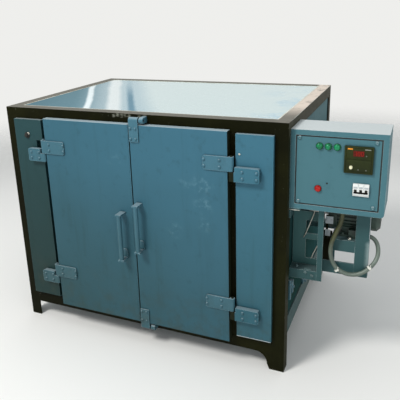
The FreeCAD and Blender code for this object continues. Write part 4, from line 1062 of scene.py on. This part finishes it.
def add_strip_and_probes():
    """A bright strip, dark plates behind the upright as painted shade, and two thin probe tubes.
    """
    strip = bmesh.new()
    block(strip, at(1381, 117, 574), at(1401, 119, 600), 0.0006)
    block(strip, at(1381, 117, 625), at(1410, 119, 655), 0.0006)
    for x, z in ((1391, 587), (1388, 640), (1403, 640)):
        screw(strip, at(x, 117, z), FRONT, 0.0035)
    finish_mesh("bright_strip", strip, "cabinet", "pale_grey")
    # Painted shade: dark iron plates where the parts behind the upright lie in shade.
    dark = bmesh.new()
    block(dark, at(1383, 119, 560), at(1392, 122, 660))
    block(dark, at(1350, 252, 398), at(1390, 256, 536))
    finish_mesh("back_shade_plates", dark, "cabinet", "iron")
    for name, route in PROBE_ROUTES.items():
        piece = tube(name, [at(*place) for place in route], 0.0022, 3, 8, "zinc")
        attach(piece, "cabinet")


COWL_HOLES = 8
COWL_RINGS = (14, 24, 34)


def add_motor_details():
    """The cowl's holes as black discs of painted shade, its lip, and the bosses where the shaft
    leaves motor and wall.
    """
    grille = bmesh.new()
    for i in range(COWL_HOLES):
        turn = 2 * math.pi * i / COWL_HOLES
        for reach in COWL_RINGS:
            y = MOTOR_Y + reach * math.cos(turn + reach)
            z = MOTOR_Z + reach * math.sin(turn + reach)
            lathe(grille, [(0.0042, 0), (0.0042, 0.0004), (0, 0.0004)], at(1576, y, z), RIGHT, 10)
    finish_mesh("cowl_holes", grille, "cabinet", "toggle")
    ring = bmesh.new()
    lathe(ring, [(0.0522, -0.001), (0.0540, 0.000), (0.0540, 0.005), (0.0522, 0.006)],
          at(1516, MOTOR_Y, MOTOR_Z), RIGHT, 48)
    finish_mesh("cowl_lip", ring, "cabinet", "motor")
    boss = bmesh.new()
    lathe(boss, [(0.028, 0), (0.028, 0.004), (0.024, 0.007), (0.016, 0.008), (0, 0.008)],
          at(1390, MOTOR_Y, MOTOR_Z), LEFT, 32)
    lathe(boss, [(0.036, 0), (0.036, 0.003), (0.030, 0.006), (0.014, 0.007), (0, 0.007)],
          at(CABINET_WIDTH, MOTOR_Y, MOTOR_Z), RIGHT, 32)
    finish_mesh("bearing_bosses", boss, "cabinet", "shield")


# Stage and light

PALE = (0.86, 0.86, 0.84)
WORLD_COLOUR = (0.93, 0.97, 1.0)
WORLD_LIGHT = 0.42
FLOOR_REACH = 14
FADE_FROM, FADE_TO = 2.2, 5.5


def add_floor():
    """A pale floor that fades into the pale world behind, with the object's shadow on it."""
    floor = bmesh.new()
    block(floor, (-FLOOR_REACH, -FLOOR_REACH, -0.02), (FLOOR_REACH, FLOOR_REACH, 0))
    data = bpy.data.meshes.new("floor")
    floor.to_mesh(data)
    floor.free()
    piece = bpy.data.objects.new("floor", data)
    bpy.context.scene.collection.objects.link(piece)
    s = Shader("pale_floor")
    s.set(Base_Color=PALE, Roughness=0.9)
    away = s.tree.nodes.new("ShaderNodeVectorMath")
    away.operation = "LENGTH"
    s.put(away.inputs[0], s.place)
    clear = s.tree.nodes.new("ShaderNodeBsdfTransparent")
    fade = s.tree.nodes.new("ShaderNodeMixShader")
    s.put(fade.inputs[0], s.span(away.outputs["Value"], FADE_FROM, FADE_TO))
    s.tree.links.new(s.shader.outputs[0], fade.inputs[1])
    s.tree.links.new(clear.outputs[0], fade.inputs[2])
    s.tree.links.new(fade.outputs[0], s.out.inputs["Surface"])
    data.materials.append(s.material)


def add_world():
    """A pale world where it is seen or mirrored, and a plain even light on the object."""
    world = bpy.data.worlds.new("studio")
    bpy.context.scene.world = world
    world.use_nodes = True
    tree = world.node_tree
    tree.nodes.clear()
    path = tree.nodes.new("ShaderNodeLightPath")
    seen = path.outputs["Is Camera Ray"]
    for name in ("Is Glossy Ray", "Is Transmission Ray"):
        either = tree.nodes.new("ShaderNodeMath")
        either.operation = "MAXIMUM"
        tree.links.new(seen, either.inputs[0])
        tree.links.new(path.outputs[name], either.inputs[1])
        seen = either.outputs[0]
    plain = tree.nodes.new("ShaderNodeBackground")
    plain.inputs["Color"].default_value = (*WORLD_COLOUR, 1)
    plain.inputs["Strength"].default_value = WORLD_LIGHT
    pale = tree.nodes.new("ShaderNodeBackground")
    pale.inputs["Color"].default_value = (*PALE, 1)
    pale.inputs["Strength"].default_value = 1.0
    mix = tree.nodes.new("ShaderNodeMixShader")
    tree.links.new(seen, mix.inputs[0])
    tree.links.new(plain.outputs[0], mix.inputs[1])
    tree.links.new(pale.outputs[0], mix.inputs[2])
    out = tree.nodes.new("ShaderNodeOutputWorld")
    tree.links.new(mix.outputs[0], out.inputs[0])


def area_light(name, place, target, power, size, colour=(1, 1, 1)):
    """A square lamp that looks from a place to a target."""
    data = bpy.data.lights.new(name, "AREA")
    data.energy = power
    data.size = size
    data.color = colour
    light = bpy.data.objects.new(name, data)
    bpy.context.scene.collection.objects.link(light)
    aim = Vector(target) - Vector(place)
    light.matrix_world = Matrix.Translation(place) @ facing(-aim)
    return light


def add_lights():
    """Key and fill from the front, and a wide top lamp that the roof doesn't mirror."""
    area_light("key", (-1.3, -3.0, 4.0), (0.25, -0.2, 0.6), 150, 1.1, (1.0, 0.98, 0.95))
    area_light("fill", (2.6, -3.4, 1.6), (0.2, 0, 0.5), 26, 2.4, (0.92, 0.97, 1.0))
    top = area_light("top", (0.2, 0.6, 4.6), (0, 0, 1.0), 62, 5.2)
    top.visible_glossy = False


add_conduit()
add_rivets()
add_bolts()
add_stile_details()
add_wall_details()
add_cover_groove_shade()
add_controller()
add_breaker()
add_lamps()
add_roof_border()
add_gaskets()
add_strip_and_probes()
add_motor_details()
add_floor()
add_world()
add_lights()
